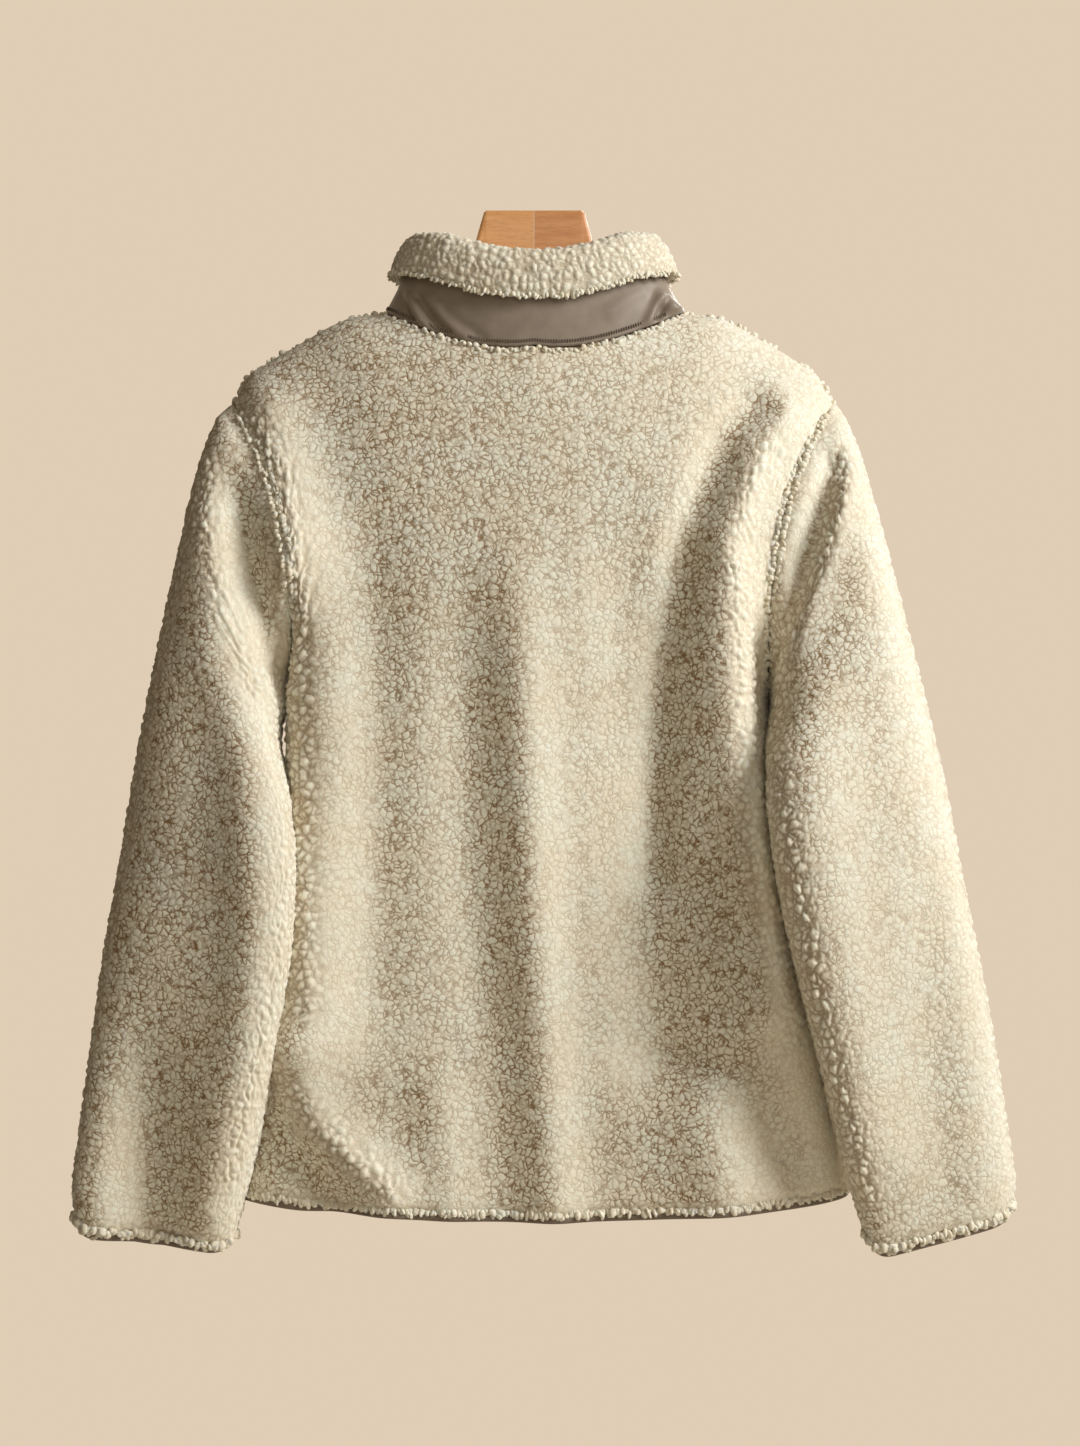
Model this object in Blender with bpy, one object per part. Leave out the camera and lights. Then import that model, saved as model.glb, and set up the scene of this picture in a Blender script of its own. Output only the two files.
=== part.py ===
"""A sherpa fleece jacket hanging by its shoulders on a wooden hanger.

Metres, +Z up. The origin is the middle of the flat rear face of the hanger's centre block.
The jacket hangs with its back towards -Y and its zipped front towards +Y, the wall side.
The wearer's left is -X. The cloth is built as walls between seam lines that the pieces share,
so that each pair of edges that is sewn together keeps the same narrow gap all along.
"""

import math
from collections import namedtuple

import bmesh
import bpy
import numpy as np
from mathutils import Matrix

# Walls and gaps
SEAM_GAP = 0.0003
ARMHOLE_GAP = 0.0004
PILE_WALL = 0.006  # knitted backing with its curled pile
SHELL_WALL = 0.0015  # woven nylon of the collar stand

# Main lines of the body, as the jacket hangs
HANG_PLANE = -0.011  # the y of the shoulder and side seams, in the middle of the hanger
HEM_Z = -0.761
HEM_LIFT = 0.015  # how much higher the hem is at the side seams
UNDERARM_Z = -0.362
SHOULDER_TIP = (0.236, -0.128)  # x and z of the shoulder seam's outer end
NECK_POINT = (0.1176, -0.058)  # x and z of its inner end
NECK_TURN = {-1: 32.8, 1: 42.5}  # degrees that the neckline is cut back from the crown, in the middle
RIDGE_SLOPE = 0.15  # how the crown goes on rising from the neck point to the middle
ARMHOLE_DEPTH = {-1: 0.052, 1: 0.044}
SHOULDER_ROUNDING = 2.2
SIDE_POWER = 3.2  # how late the torso's section turns towards its side seams
CHEST_POWER = 0.6  # how much later still above the underarm
CHEST_OPENS = 0.25  # the share of the rise from the underarm over which the section changes
CROWN_POWER = 4  # how late the section fills out to the crown
FRONT_EDGE = 0.0065  # each front stops this far from the middle, where the zip shows
BACK, FRONT = -1, 1
LEFT, RIGHT = -1, 1

# Plan sections of the torso: half widths to the wearer's left and right, and depths
TorsoSection = namedtuple("TorsoSection", "z left right back front")
TORSO = (
    TorsoSection(-0.780, 0.242, 0.254, 0.058, 0.055),
    TorsoSection(-0.650, 0.224, 0.238, 0.063, 0.060),
    TorsoSection(-0.550, 0.208, 0.219, 0.068, 0.063),
    TorsoSection(-0.450, 0.196, 0.201, 0.072, 0.065),
    TorsoSection(-0.362, 0.187, 0.184, 0.073, 0.066),
    TorsoSection(-0.300, 0.187, 0.184, 0.073, 0.066),
)

# The shoulder seam, which bends over the hanger's end
ShoulderPoint = namedtuple("ShoulderPoint", "x z")
SHOULDER = (
    ShoulderPoint(*NECK_POINT),
    ShoulderPoint(0.148, -0.0625),
    ShoulderPoint(0.184, -0.0815),
    ShoulderPoint(0.209, -0.0970),
    ShoulderPoint(0.2275, -0.1120),
    ShoulderPoint(*SHOULDER_TIP),
)

# How far out the armhole seam runs, from the underarm up to the shoulder tip
ArmholeSection = namedtuple("ArmholeSection", "z reach")
ARMHOLE = (
    ArmholeSection(-0.400, 0.188),
    ArmholeSection(-0.362, 0.186),
    ArmholeSection(-0.325, 0.184),
    ArmholeSection(-0.275, 0.187),
    ArmholeSection(-0.225, 0.194),
    ArmholeSection(-0.185, 0.205),
    ArmholeSection(-0.155, 0.219),
    ArmholeSection(-0.128, 0.236),
)

# Sleeve sections from armhole to cuff. Each is an oval between an outer and an inner point,
# which fan out from the underarm as the sleeve turns down. Depths are to the back and front of y.
SleeveSection = namedtuple("SleeveSection", "outer_x outer_z inner_x inner_z y back front")
SLEEVES = {
    LEFT: (
        SleeveSection(0.236, -0.128, 0.187, -0.362, -0.011, 0.052, 0.044),
        SleeveSection(0.250, -0.147, 0.190, -0.368, -0.017, 0.052, 0.044),
        SleeveSection(0.264, -0.190, 0.194, -0.374, -0.027, 0.051, 0.042),
        SleeveSection(0.281, -0.262, 0.199, -0.382, -0.040, 0.049, 0.038),
        SleeveSection(0.297, -0.342, 0.197, -0.402, -0.054, 0.046, 0.034),
        SleeveSection(0.311, -0.424, 0.186, -0.442, -0.067, 0.043, 0.031),
        SleeveSection(0.320, -0.484, 0.181, -0.494, -0.073, 0.040, 0.029),
        SleeveSection(0.331, -0.548, 0.185, -0.560, -0.074, 0.037, 0.028),
        SleeveSection(0.341, -0.618, 0.198, -0.634, -0.069, 0.034, 0.027),
        SleeveSection(0.351, -0.690, 0.212, -0.706, -0.062, 0.031, 0.026),
        SleeveSection(0.357, -0.738, 0.224, -0.754, -0.056, 0.028, 0.025),
        SleeveSection(0.356, -0.772, 0.232, -0.788, -0.052, 0.025, 0.023),
    ),
    RIGHT: (
        SleeveSection(0.236, -0.128, 0.184, -0.362, -0.011, 0.052, 0.044),
        SleeveSection(0.248, -0.147, 0.187, -0.368, -0.017, 0.052, 0.044),
        SleeveSection(0.262, -0.190, 0.190, -0.376, -0.027, 0.051, 0.042),
        SleeveSection(0.280, -0.262, 0.191, -0.386, -0.041, 0.049, 0.038),
        SleeveSection(0.299, -0.342, 0.185, -0.406, -0.056, 0.046, 0.034),
        SleeveSection(0.317, -0.424, 0.180, -0.446, -0.070, 0.043, 0.031),
        SleeveSection(0.328, -0.484, 0.185, -0.500, -0.075, 0.040, 0.029),
        SleeveSection(0.341, -0.548, 0.199, -0.566, -0.073, 0.037, 0.028),
        SleeveSection(0.355, -0.618, 0.218, -0.636, -0.067, 0.034, 0.027),
        SleeveSection(0.367, -0.690, 0.236, -0.708, -0.060, 0.031, 0.026),
        SleeveSection(0.374, -0.735, 0.248, -0.757, -0.055, 0.028, 0.025),
        SleeveSection(0.373, -0.762, 0.256, -0.791, -0.051, 0.025, 0.023),
    ),
}
SLEEVE_OVAL = 2.3
CAP_SHARE = 0.3  # the share of the sleeve over which the armhole's own outline fades out
SLEEVE_CROWDING = 0.92  # under 1 puts more of the sleeve's rows towards the cuff
CAP_LEAN = 0.5  # how much the second ring's wall still leans with the armhole's

# Where the folds fade out
FOLD_SIDE_POWER = 8  # towards the side seams and armholes
FOLD_TOP_FROM = 1.2  # the height on the body from which they fade towards the shoulders
ZIP_FLAT = 0.2  # the share of each front beside the zip that stays flat
SLEEVE_FOLDS_FROM = 1.2  # the station down each sleeve by which they reach full height
UNDERARM_TILT = 0.6  # how far the side seam's last wall direction leans down to meet the sleeve

# The largest folds, as soft ridges (+) and troughs (-) along a line in X and Z
Fold = namedtuple("Fold", "x1 z1 x2 z2 x3 z3 reach height")
BACK_FOLDS = (
    Fold(-0.214, -0.160, -0.172, -0.262, -0.168, -0.400, 0.020, 0.012),
    Fold(-0.168, -0.400, -0.164, -0.520, -0.166, -0.620, 0.024, 0.011),
    Fold(-0.188, -0.640, -0.170, -0.695, -0.112, -0.745, 0.022, 0.011),
    Fold(-0.196, -0.700, -0.165, -0.745, -0.140, -0.790, 0.020, -0.010),
    Fold(-0.085, -0.240, -0.082, -0.480, -0.085, -0.780, 0.034, -0.007),
    Fold(-0.004, -0.230, -0.002, -0.460, 0.004, -0.780, 0.026, 0.006),
    Fold(0.078, -0.220, 0.080, -0.460, 0.082, -0.620, 0.032, -0.010),
    Fold(0.084, -0.620, 0.130, -0.640, 0.205, -0.690, 0.026, -0.008),
    Fold(0.186, -0.160, 0.154, -0.240, 0.154, -0.380, 0.020, 0.013),
    Fold(0.154, -0.380, 0.156, -0.500, 0.160, -0.600, 0.024, 0.011),
    Fold(0.140, -0.700, 0.150, -0.740, 0.152, -0.790, 0.030, 0.007),
)
FRONT_FOLDS = (
    Fold(-0.190, -0.170, -0.158, -0.260, -0.160, -0.440, 0.022, 0.010),
    Fold(-0.160, -0.440, -0.166, -0.580, -0.180, -0.760, 0.026, 0.009),
    Fold(0.188, -0.170, 0.162, -0.260, 0.158, -0.420, 0.022, 0.010),
    Fold(0.158, -0.420, 0.164, -0.600, 0.172, -0.760, 0.026, 0.009),
    Fold(-0.085, -0.280, -0.090, -0.500, -0.080, -0.770, 0.032, -0.006),
    Fold(0.080, -0.260, 0.092, -0.500, 0.088, -0.770, 0.032, -0.007),
)
SLEEVE_FOLDS = {
    LEFT: (
        Fold(-0.234, -0.178, -0.213, -0.270, -0.189, -0.345, 0.013, -0.013),
        Fold(-0.246, -0.200, -0.226, -0.290, -0.198, -0.352, 0.014, 0.008),
        Fold(-0.258, -0.260, -0.256, -0.420, -0.262, -0.600, 0.022, -0.006),
        Fold(-0.250, -0.660, -0.244, -0.700, -0.240, -0.750, 0.018, -0.006),
    ),
    RIGHT: (
        Fold(0.229, -0.188, 0.205, -0.258, 0.182, -0.340, 0.013, -0.013),
        Fold(0.236, -0.200, 0.216, -0.268, 0.194, -0.345, 0.012, 0.008),
        Fold(0.286, -0.360, 0.300, -0.520, 0.316, -0.720, 0.022, -0.006),
    ),
}

# How finely the cloth is divided
NECK_STEPS = 8
SHOULDER_STEPS = 8
LOWER_ROWS = 9
UPPER_ROWS = 9
SLEEVE_ROWS = 14
STAND_ROWS = 2

# Collar
STAND_TOP_X = 0.086
STAND_TOP_DEPTH = {-1: 0.041, 1: 0.043}
COLLAR_TOP_Z = {-1: -0.008, 0: 0.003, 1: -0.046}  # middle of the back, side and middle of the front
STAND_SHORT = 0.014  # the nylon stand ends this far under the roll's top
ROLL_FALL = 0.040  # how far the turned-down pile hangs over the stand
LINING_WALL = 0.005
LINING_LIFT = 0.0016  # the lining starts this far above the neck seam, over its allowances
ROLL_GAP = 0.0009  # between the turned-down pile and the stand
ZIP_LEVELS = (0.0008, 0.016, 0.030)  # heights on the stand that the zip passes
# The roll's section: out from the stand's face, and up from the collar's top
RollPoint = namedtuple("RollPoint", "out up")
ROLL = (
    RollPoint(-0.0050, -0.002),
    RollPoint(0.0008, 0.0),
    RollPoint(0.0062, -0.003),
    RollPoint(0.0092, -0.011),
    RollPoint(0.0098, -0.024),
    RollPoint(0.0088, -ROLL_FALL + 0.003),
    RollPoint(0.0060, -ROLL_FALL - 0.0005),
    RollPoint(0.0026, -ROLL_FALL - 0.0005),
    RollPoint(ROLL_GAP, -ROLL_FALL + 0.002),
    RollPoint(ROLL_GAP, -0.012),
    RollPoint(-0.0010, -0.0105),
)
LINING_BENDS = -0.009  # the lining's inner face starts to bend over this far under the top
LINING_JOINS = -0.012  # and its outer face this far

# Bindings
BINDING_HEIGHT = 0.006
BINDING_GAP = 0.0005
BINDING_WALL = 0.0036
BINDING_INSET = 0.0015  # from the pile's outer face to the binding's

# Zip
ZIP_HALF = 0.003
CHAIN_THICK = 0.0026
TAPE_THICK = 0.001
TAPE_WIDTH = 0.009
TAPE_BOW = 0.0003  # how much further back a tape's outer edge lies
ZIP_BEHIND = 0.0077  # from the fronts' outer face back to the middle of the tape
ZIP_FROM = 0.006  # above the hem
NECK_BEHIND = 0.0024  # from the neckline's inner edge back to the middle of the tape
ZIP_NECK = 0.008  # the body's stretch ends this far below the neck seam
ZIP_ROWS = 14
ZIP_SHORT = 0.0135  # the zip ends this far under the roll's top
BOX_SIZE = (0.009, 0.0042, 0.009)
SLIDER_PLATE = (0.0088, 0.0018, 0.011)
SLIDER_DOWN = 0.007  # from the top of the chain to the slider's middle
PIN_RADIUS = 0.0008
EYE_RADIUS = 0.0012
BARREL_RADIUS = 0.0020
PIN_STANDS = 0.0026  # from the plate's face to the pin's axis
LUG_WIDTH = 0.0012
LUG_DEPTH = 0.003
LUG_OVER = 0.0006  # from the pin's far side to the lug's end
BARREL_WIDTH = 0.0032
PULL_SIZE = (0.0062, 0.0013, 0.026)
NECK_LENGTH = 0.006  # of the narrow part between the barrel and the pull's blade
NECK_DOWN = 0.0045  # from the pin to the middle of that part
BLADE_DOWN = 0.0192  # from the pin to the middle of the blade

# Hanger: one half's sections from the middle outwards
HangerSection = namedtuple("HangerSection", "x top bottom thick power")
HANGER = (
    HangerSection(0.00015, 0.0227, -0.066, 0.022, 9.0),
    HangerSection(0.0200, 0.0227, -0.066, 0.022, 9.0),
    HangerSection(0.0375, 0.0227, -0.066, 0.022, 9.0),
    HangerSection(0.0395, 0.0212, -0.067, 0.0216, 8.0),
    HangerSection(0.0440, 0.0060, -0.068, 0.022, 6.0),
    HangerSection(0.0480, -0.0090, -0.069, 0.022, 5.0),
    HangerSection(0.0540, -0.0260, -0.070, 0.022, 4.0),
    HangerSection(0.0640, -0.0400, -0.073, 0.021, 3.5),
    HangerSection(0.0900, -0.0568, -0.081, 0.019, 3.0),
    HangerSection(0.1176, -0.0681, -0.091, 0.017, 2.4),
    HangerSection(0.1500, -0.0738, -0.099, 0.017, 2.3),
    HangerSection(0.1850, -0.0912, -0.114, 0.016, 2.2),
    HangerSection(0.2050, -0.1046, -0.126, 0.015, 2.2),
    HangerSection(0.2160, -0.1146, -0.130, 0.011, 2.2),
)
HANGER_SIDES = 16


# ---------------------------------------------------------------- numbers


def along(rows, key, column, at):
    """A smooth curve through one column of a table, read at values of its key column."""
    x = np.array([getattr(row, key) for row in rows])
    y = np.array([getattr(row, column) for row in rows])
    if x[0] > x[-1]:
        x, y = x[::-1], y[::-1]
    return smooth(x, y, at)


def smooth(x, y, at):
    """Cubic Hermite interpolation with slopes from the neighbouring points."""
    slope = np.gradient(y, x)
    at = np.clip(at, x[0], x[-1])
    i = np.clip(np.searchsorted(x, at) - 1, 0, len(x) - 2)
    step = x[i + 1] - x[i]
    t = (at - x[i]) / step
    return (
        (2 * t**3 - 3 * t**2 + 1) * y[i]
        + (t**3 - 2 * t**2 + t) * step * slope[i]
        + (3 * t**2 - 2 * t**3) * y[i + 1]
        + (t**3 - t**2) * step * slope[i + 1]
    )


def unit(vectors):
    return vectors / np.maximum(np.linalg.norm(vectors, axis=-1, keepdims=True), 1e-12)


def normals_of(grid, outward, wrap=False):
    """Unit normals of a grid of points, turned to the side that outward points to."""
    if wrap:
        around = np.roll(grid, -1, axis=1) - np.roll(grid, 1, axis=1)
    else:
        around = np.gradient(grid, axis=1)
    found = unit(np.cross(around, np.gradient(grid, axis=0)))
    turned = np.where((found * outward).sum(-1, keepdims=True) < 0, -1.0, 1.0)
    return found * turned


def fold_height(folds, x, z):
    """The sum of the soft ridges and troughs at points of the hanging cloth."""
    total = np.zeros(np.broadcast(x, z).shape)
    for fold in folds:
        ends = ((fold.x1, fold.z1), (fold.x2, fold.z2), (fold.x3, fold.z3))
        nearest = np.full(total.shape, np.inf)
        for (ax, az), (bx, bz) in zip(ends[:-1], ends[1:]):
            span = (bx - ax) ** 2 + (bz - az) ** 2
            share = np.clip(((x - ax) * (bx - ax) + (z - az) * (bz - az)) / span, 0, 1)
            away = np.hypot(x - ax - share * (bx - ax), z - az - share * (bz - az))
            nearest = np.minimum(nearest, away)
        total += fold.height * np.exp(-((nearest / fold.reach) ** 2))
    return total


# ---------------------------------------------------------------- body form


def ridge_height(x):
    """z of the crown line of the shoulders, at a distance from the middle."""
    seam = along(SHOULDER, "x", "z", x)
    return seam + RIDGE_SLOPE * np.clip(NECK_POINT[0] - x, 0, None)


def crown_share(face, x):
    """How far up the crown a column reaches: all the way on the shoulder, less at the neckline."""
    scoop = np.sqrt(np.clip(1 - (x / NECK_POINT[0]) ** 2, 0, 1))
    return 1 - NECK_TURN[face] / 90 * scoop


def body_surface(face, side, share, v):
    """The outer face of the body's cloth, before its folds.

    share runs from the middle (0) to the side seam or armhole (1) on one side. v runs from
    the hem (0) through the underarm (1) to the shoulder seam and neckline (2).
    """
    share, v = np.broadcast_arrays(np.asarray(share, float), np.asarray(v, float))
    middle = FRONT_EDGE if face == FRONT else 0.0
    top_x = middle + (SHOULDER_TIP[0] - middle) * share
    top_z = ridge_height(top_x)
    rise = np.clip(v - 1, 0, 1) * crown_share(face, top_x)
    turn = (1 - np.cos(math.pi * rise)) / 2
    hem_z = HEM_Z + HEM_LIFT * share**2
    crest = np.sin(math.pi / 2 * rise) ** (2 / SHOULDER_ROUNDING)
    up = crest + (turn - crest) * share**3
    z = np.where(
        v < 1,
        hem_z + (UNDERARM_Z - hem_z) * np.clip(v, 0, 1),
        UNDERARM_Z + (top_z - UNDERARM_Z) * up,
    )
    seam_z = UNDERARM_Z + (SHOULDER_TIP[1] - UNDERARM_Z) * turn
    column = "left" if side == LEFT else "right"
    wide = along(TORSO, "z", column, np.minimum(z, UNDERARM_Z))
    join = wide_at_underarm(side) - along(ARMHOLE, "z", "reach", UNDERARM_Z)
    arm = along(ARMHOLE, "z", "reach", seam_z) + join * (1 - turn)
    reach = np.where(v < 1, wide, arm)
    x = side * (middle + (reach - middle) * share)

    deep = along(TORSO, "z", "back" if face == BACK else "front", np.minimum(z, UNDERARM_Z))
    round_over = np.abs(np.cos(math.pi / 2 * rise)) ** (2 / SHOULDER_ROUNDING)
    crown = deep * round_over
    edge = ARMHOLE_DEPTH[face] * np.sin(math.pi * rise)
    opened = np.clip(rise / CHEST_OPENS, 0, 1)
    profile = (1 - share ** (SIDE_POWER + CHEST_POWER * opened)) ** (0.5 + 0.5 * opened)
    profile = profile + (1 - profile) * rise**CROWN_POWER
    return np.stack([x, HANG_PLANE + face * (edge + (crown - edge) * profile), z], -1)


def wide_at_underarm(side):
    return along(TORSO, "z", "left" if side == LEFT else "right", UNDERARM_Z)


def armhole_directions(loop):
    """Unit vectors out of the armhole's outline, in the upright plane that it nearly lies in."""
    flat = loop.copy()
    flat[:, 0] = 0
    run = np.gradient(flat, axis=0)
    found = unit(np.stack([np.zeros(len(run)), run[:, 2], -run[:, 1]], -1))
    middle = np.array([0, HANG_PLANE, (loop[0, 2] + loop[-1, 2]) / 2])
    found *= np.where(((flat - middle) * found).sum(-1, keepdims=True) < 0, -1.0, 1.0)
    found[0] = (0, 0, -1)
    found[-1] = (0, 0, 1)
    return found


def neck_turns(middle):
    """Turns round the neckline from the panel's middle edge (0 at x = 0) to the shoulder seam."""
    return np.linspace(math.asin(middle / NECK_POINT[0]), math.pi / 2, NECK_STEPS + 1)


def panel_shares(face):
    """Where the columns of a body panel lie, from its middle to its side: neckline, then shoulder."""
    middle = FRONT_EDGE if face == FRONT else 0.0
    inner = NECK_POINT[0] * np.sin(neck_turns(middle))
    step = np.linspace(0, 1, SHOULDER_STEPS + 1)[1:]
    outer = NECK_POINT[0] + (SHOULDER_TIP[0] - NECK_POINT[0]) * step
    return (np.concatenate([inner, outer]) - middle) / (SHOULDER_TIP[0] - middle)


def panel_rows():
    return np.concatenate(
        [np.linspace(0, 1, LOWER_ROWS + 1), np.linspace(1, 2, UPPER_ROWS + 1)[1:]]
    )


def half_panel(face, side):
    """Outer and inner points of half a back, or of one front, with shared seam directions."""
    share, v = np.meshgrid(panel_shares(face), panel_rows())
    grid = body_surface(face, side, share, v)
    outward = np.stack([side * share**3, np.full_like(share, face), np.zeros_like(share)], -1)
    bare = normals_of(grid, outward)
    folds = BACK_FOLDS if face == BACK else FRONT_FOLDS
    fade = (1 - share**FOLD_SIDE_POWER) * (1 - np.clip(v - FOLD_TOP_FROM, 0, 1) ** 2)
    if face == FRONT:
        fade = fade * np.clip(share / ZIP_FLAT, 0, 1) ** 2
    grid = grid + bare * (fade * fold_height(folds, grid[..., 0], grid[..., 2]))[..., None]
    normal = normals_of(grid, outward)

    normal[:, 0, 0] = 0  # the middle line stays in its own plane
    normal[: LOWER_ROWS + 1, -1, 1] = 0  # both sides of a side seam share one direction
    on_shoulder = np.arange(share.shape[1]) >= NECK_STEPS
    normal[-1, on_shoulder, 1] = 0
    loop = grid[LOWER_ROWS:, -1]
    normal[LOWER_ROWS:, -1] = armhole_directions(loop)
    normal[LOWER_ROWS - 1, -1] += (0, 0, -UNDERARM_TILT)
    normal = unit(normal)
    return grid, grid - PILE_WALL * normal, normal


# ---------------------------------------------------------------- meshes


def add_object(name, mesh, material):
    made = bpy.data.objects.new(name, mesh)
    JACKET.objects.link(made)
    if not mesh.materials:
        mesh.materials.append(material)
    return made


def faces_between(bm, first, second, wrap):
    """Quads between two rows of vertices."""
    count = len(first) if wrap else len(first) - 1
    for i in range(count):
        j = (i + 1) % len(first)
        bm.faces.new((first[i], first[j], second[j], second[i]))


def rim_between(bm, outer, inner, wrap):
    """Triangles of a wall's rim, split the same way on both sides of a seam."""
    count = len(outer) if wrap else len(outer) - 1
    for i in range(count):
        j = (i + 1) % len(outer)
        if (outer[i].co.z, abs(outer[i].co.x)) < (outer[j].co.z, abs(outer[j].co.x)):
            i, j = j, i
        bm.faces.new((outer[i], outer[j], inner[j]))
        bm.faces.new((outer[i], inner[j], inner[i]))


def cloth_wall(name, outer, inner, material, wrap=False):
    """A closed wall through two grids of points: its faces, and the rims that join their edges."""
    bm = bmesh.new()
    rows = [
        [[bm.verts.new(point) for point in line] for line in grid] for grid in (outer, inner)
    ]
    for grid in rows:
        for lower, upper in zip(grid[:-1], grid[1:]):
            faces_between(bm, lower, upper, wrap)
    for end in (0, -1):
        rim_between(bm, rows[0][end], rows[1][end], wrap)
        if not wrap:
            rim_between(bm, *([line[end] for line in grid] for grid in rows), False)
    return finish_mesh(name, bm, material)


def lofted_bar(name, rings, material):
    """A closed solid through rings of points, with a cap at each end."""
    bm = bmesh.new()
    made = [[bm.verts.new(point) for point in ring] for ring in rings]
    for lower, upper in zip(made[:-1], made[1:]):
        faces_between(bm, lower, upper, True)
    bm.faces.new(made[0])
    bm.faces.new(made[-1])
    bmesh.ops.triangulate(bm, faces=[f for f in bm.faces if len(f.verts) > 4])
    return finish_mesh(name, bm, material)


def finish_mesh(name, bm, material):
    bmesh.ops.recalc_face_normals(bm, faces=bm.faces)
    if bm.calc_volume(signed=True) < 0:
        bmesh.ops.reverse_faces(bm, faces=bm.faces)
    mesh = bpy.data.meshes.new(name)
    bm.to_mesh(mesh)
    bm.free()
    mesh.shade_smooth()
    mesh.set_sharp_from_angle(angle=math.radians(50))
    return add_object(name, mesh, material)


def box(name, size, centre, material, turn=None):
    bpy.ops.mesh.primitive_cube_add(size=1)
    made = bpy.context.object
    made.name = name
    made.data.transform(Matrix.Diagonal((*size, 1)))
    if turn is not None:
        made.data.transform(turn)
    made.location = centre
    return take(made, material)


def cylinder(name, radius, depth, centre, material, sides=16):
    """A cylinder along X."""
    bpy.ops.mesh.primitive_cylinder_add(vertices=sides, radius=radius, depth=depth)
    made = bpy.context.object
    made.name = name
    made.data.transform(Matrix.Rotation(math.radians(90), 4, "Y"))
    made.location = centre
    return take(made, material)


def take(made, material):
    """Moves a primitive into the jacket's collection."""
    for collection in made.users_collection:
        collection.objects.unlink(made)
    JACKET.objects.link(made)
    made.data.materials.clear()
    made.data.materials.append(material)
    return made


def join_solid(made, other, operation):
    """Adds or cuts another solid, which becomes a hidden helper."""
    step = made.modifiers.new(operation.lower() + "_" + other.name, "BOOLEAN")
    step.operation = operation
    step.object = other
    JACKET.objects.unlink(other)
    HELPERS.objects.link(other)
    other.hide_render = True
    other.display_type = "WIRE"


def new_material(name, colour, roughness):
    made = bpy.data.materials.new(name)
    made.use_nodes = True
    shader = made.node_tree.nodes["Principled BSDF"]
    shader.inputs["Base Color"].default_value = (*colour, 1)
    shader.inputs["Roughness"].default_value = roughness
    made.diffuse_color = (*colour, 1)
    return made


# ---------------------------------------------------------------- pieces


def make_body(fleece):
    """The back in one piece, and the two fronts."""
    halves = {}
    for face in (BACK, FRONT):
        for side in (LEFT, RIGHT):
            halves[face, side] = half_panel(face, side)
    left, right = halves[BACK, LEFT], halves[BACK, RIGHT]
    outer, inner = (
        np.concatenate([left[k][:, ::-1], right[k][:, 1:]], axis=1) for k in (0, 1)
    )
    shift = np.array([0, -SEAM_GAP / 2, 0])
    cloth_wall("back", outer + shift, inner + shift, fleece)
    for side, name in ((LEFT, "front_left"), (RIGHT, "front_right")):
        outer, inner, _ = halves[FRONT, side]
        cloth_wall(name, outer - shift, inner - shift, fleece)
    return halves


def round_body(halves, row, columns):
    """One row's points, normals and faces (back or front), from one front edge to the other."""
    order = ((FRONT, LEFT, 1), (BACK, LEFT, -1), (BACK, RIGHT, 1), (FRONT, RIGHT, -1))
    points, normals, faces = [], [], []
    for i, (face, side, step) in enumerate(order):
        grid, _, normal = halves[face, side]
        kept = slice(0 if i == 0 else 1, None)
        points.append(grid[row, :columns][::step][kept])
        normals.append(normal[row, :columns][::step][kept])
        faces.append(np.full(len(points[-1]), face))
    return np.concatenate(points), np.concatenate(normals), np.concatenate(faces)


def oval(turn, power):
    """Cosine and sine of a turn, squared off towards a box as power rises above 2."""
    c, s = np.cos(turn), np.sin(turn)
    return (
        np.sign(c) * np.abs(c) ** (2 / power),
        np.sign(s) * np.abs(s) ** (2 / power),
    )


def sleeve_ring(side, station, turn):
    """Points of the plain sleeve at stations along its table, turn 0 at the outer point."""
    rows = SLEEVES[side]
    keys = np.arange(len(rows), dtype=float)

    def read(column):
        return smooth(keys, np.array([getattr(row, column) for row in rows]), station)

    c, s = oval(turn, SLEEVE_OVAL)
    x = (read("outer_x") + read("inner_x")) / 2 + (read("outer_x") - read("inner_x")) / 2 * c
    z = (read("outer_z") + read("inner_z")) / 2 + (read("outer_z") - read("inner_z")) / 2 * c
    y = read("y") - np.where(s > 0, read("back"), read("front")) * s
    return np.stack([side * x, y, z], -1)


def make_sleeve(name, side, halves, fleece):
    """A tube from the armhole's outline to the cuff, with its underarm at half a turn."""
    back, front = halves[BACK, side], halves[FRONT, side]
    loop = np.concatenate(
        [back[0][LOWER_ROWS:, -1][::-1], front[0][LOWER_ROWS:, -1][1:-1]]
    )
    rim = np.concatenate([back[2][LOWER_ROWS:, -1][::-1], front[2][LOWER_ROWS:, -1][1:-1]])
    turn = np.linspace(0, 2 * math.pi, len(loop) + 1)[:-1]
    last = len(SLEEVES[side]) - 1
    stations = last * np.linspace(0, 1, SLEEVE_ROWS + 1) ** SLEEVE_CROWDING
    station, turns = np.meshgrid(stations, turn, indexing="ij")
    grid = sleeve_ring(side, station, turns)
    fade = np.clip(1 - station / last / CAP_SHARE, 0, 1) ** 2
    grid = grid + fade[..., None] * (loop - grid[0])[None]
    middle = (grid.max(axis=1, keepdims=True) + grid.min(axis=1, keepdims=True)) / 2
    bare = normals_of(grid, grid - middle, wrap=True)
    lift = fold_height(SLEEVE_FOLDS[side], grid[..., 0], grid[..., 2])
    lift = lift * np.clip(-bare[..., 1], 0, 1) * np.clip(station / SLEEVE_FOLDS_FROM, 0, 1)
    grid = grid + bare * lift[..., None]
    normal = normals_of(grid, grid - middle, wrap=True)
    normal[0] = rim
    normal[1] = unit(normal[1] + CAP_LEAN * rim)
    grid = grid + np.array([side * ARMHOLE_GAP, 0, 0])
    cloth_wall(name, grid, grid - PILE_WALL * normal, fleece, wrap=True)
    return grid, normal


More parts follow.
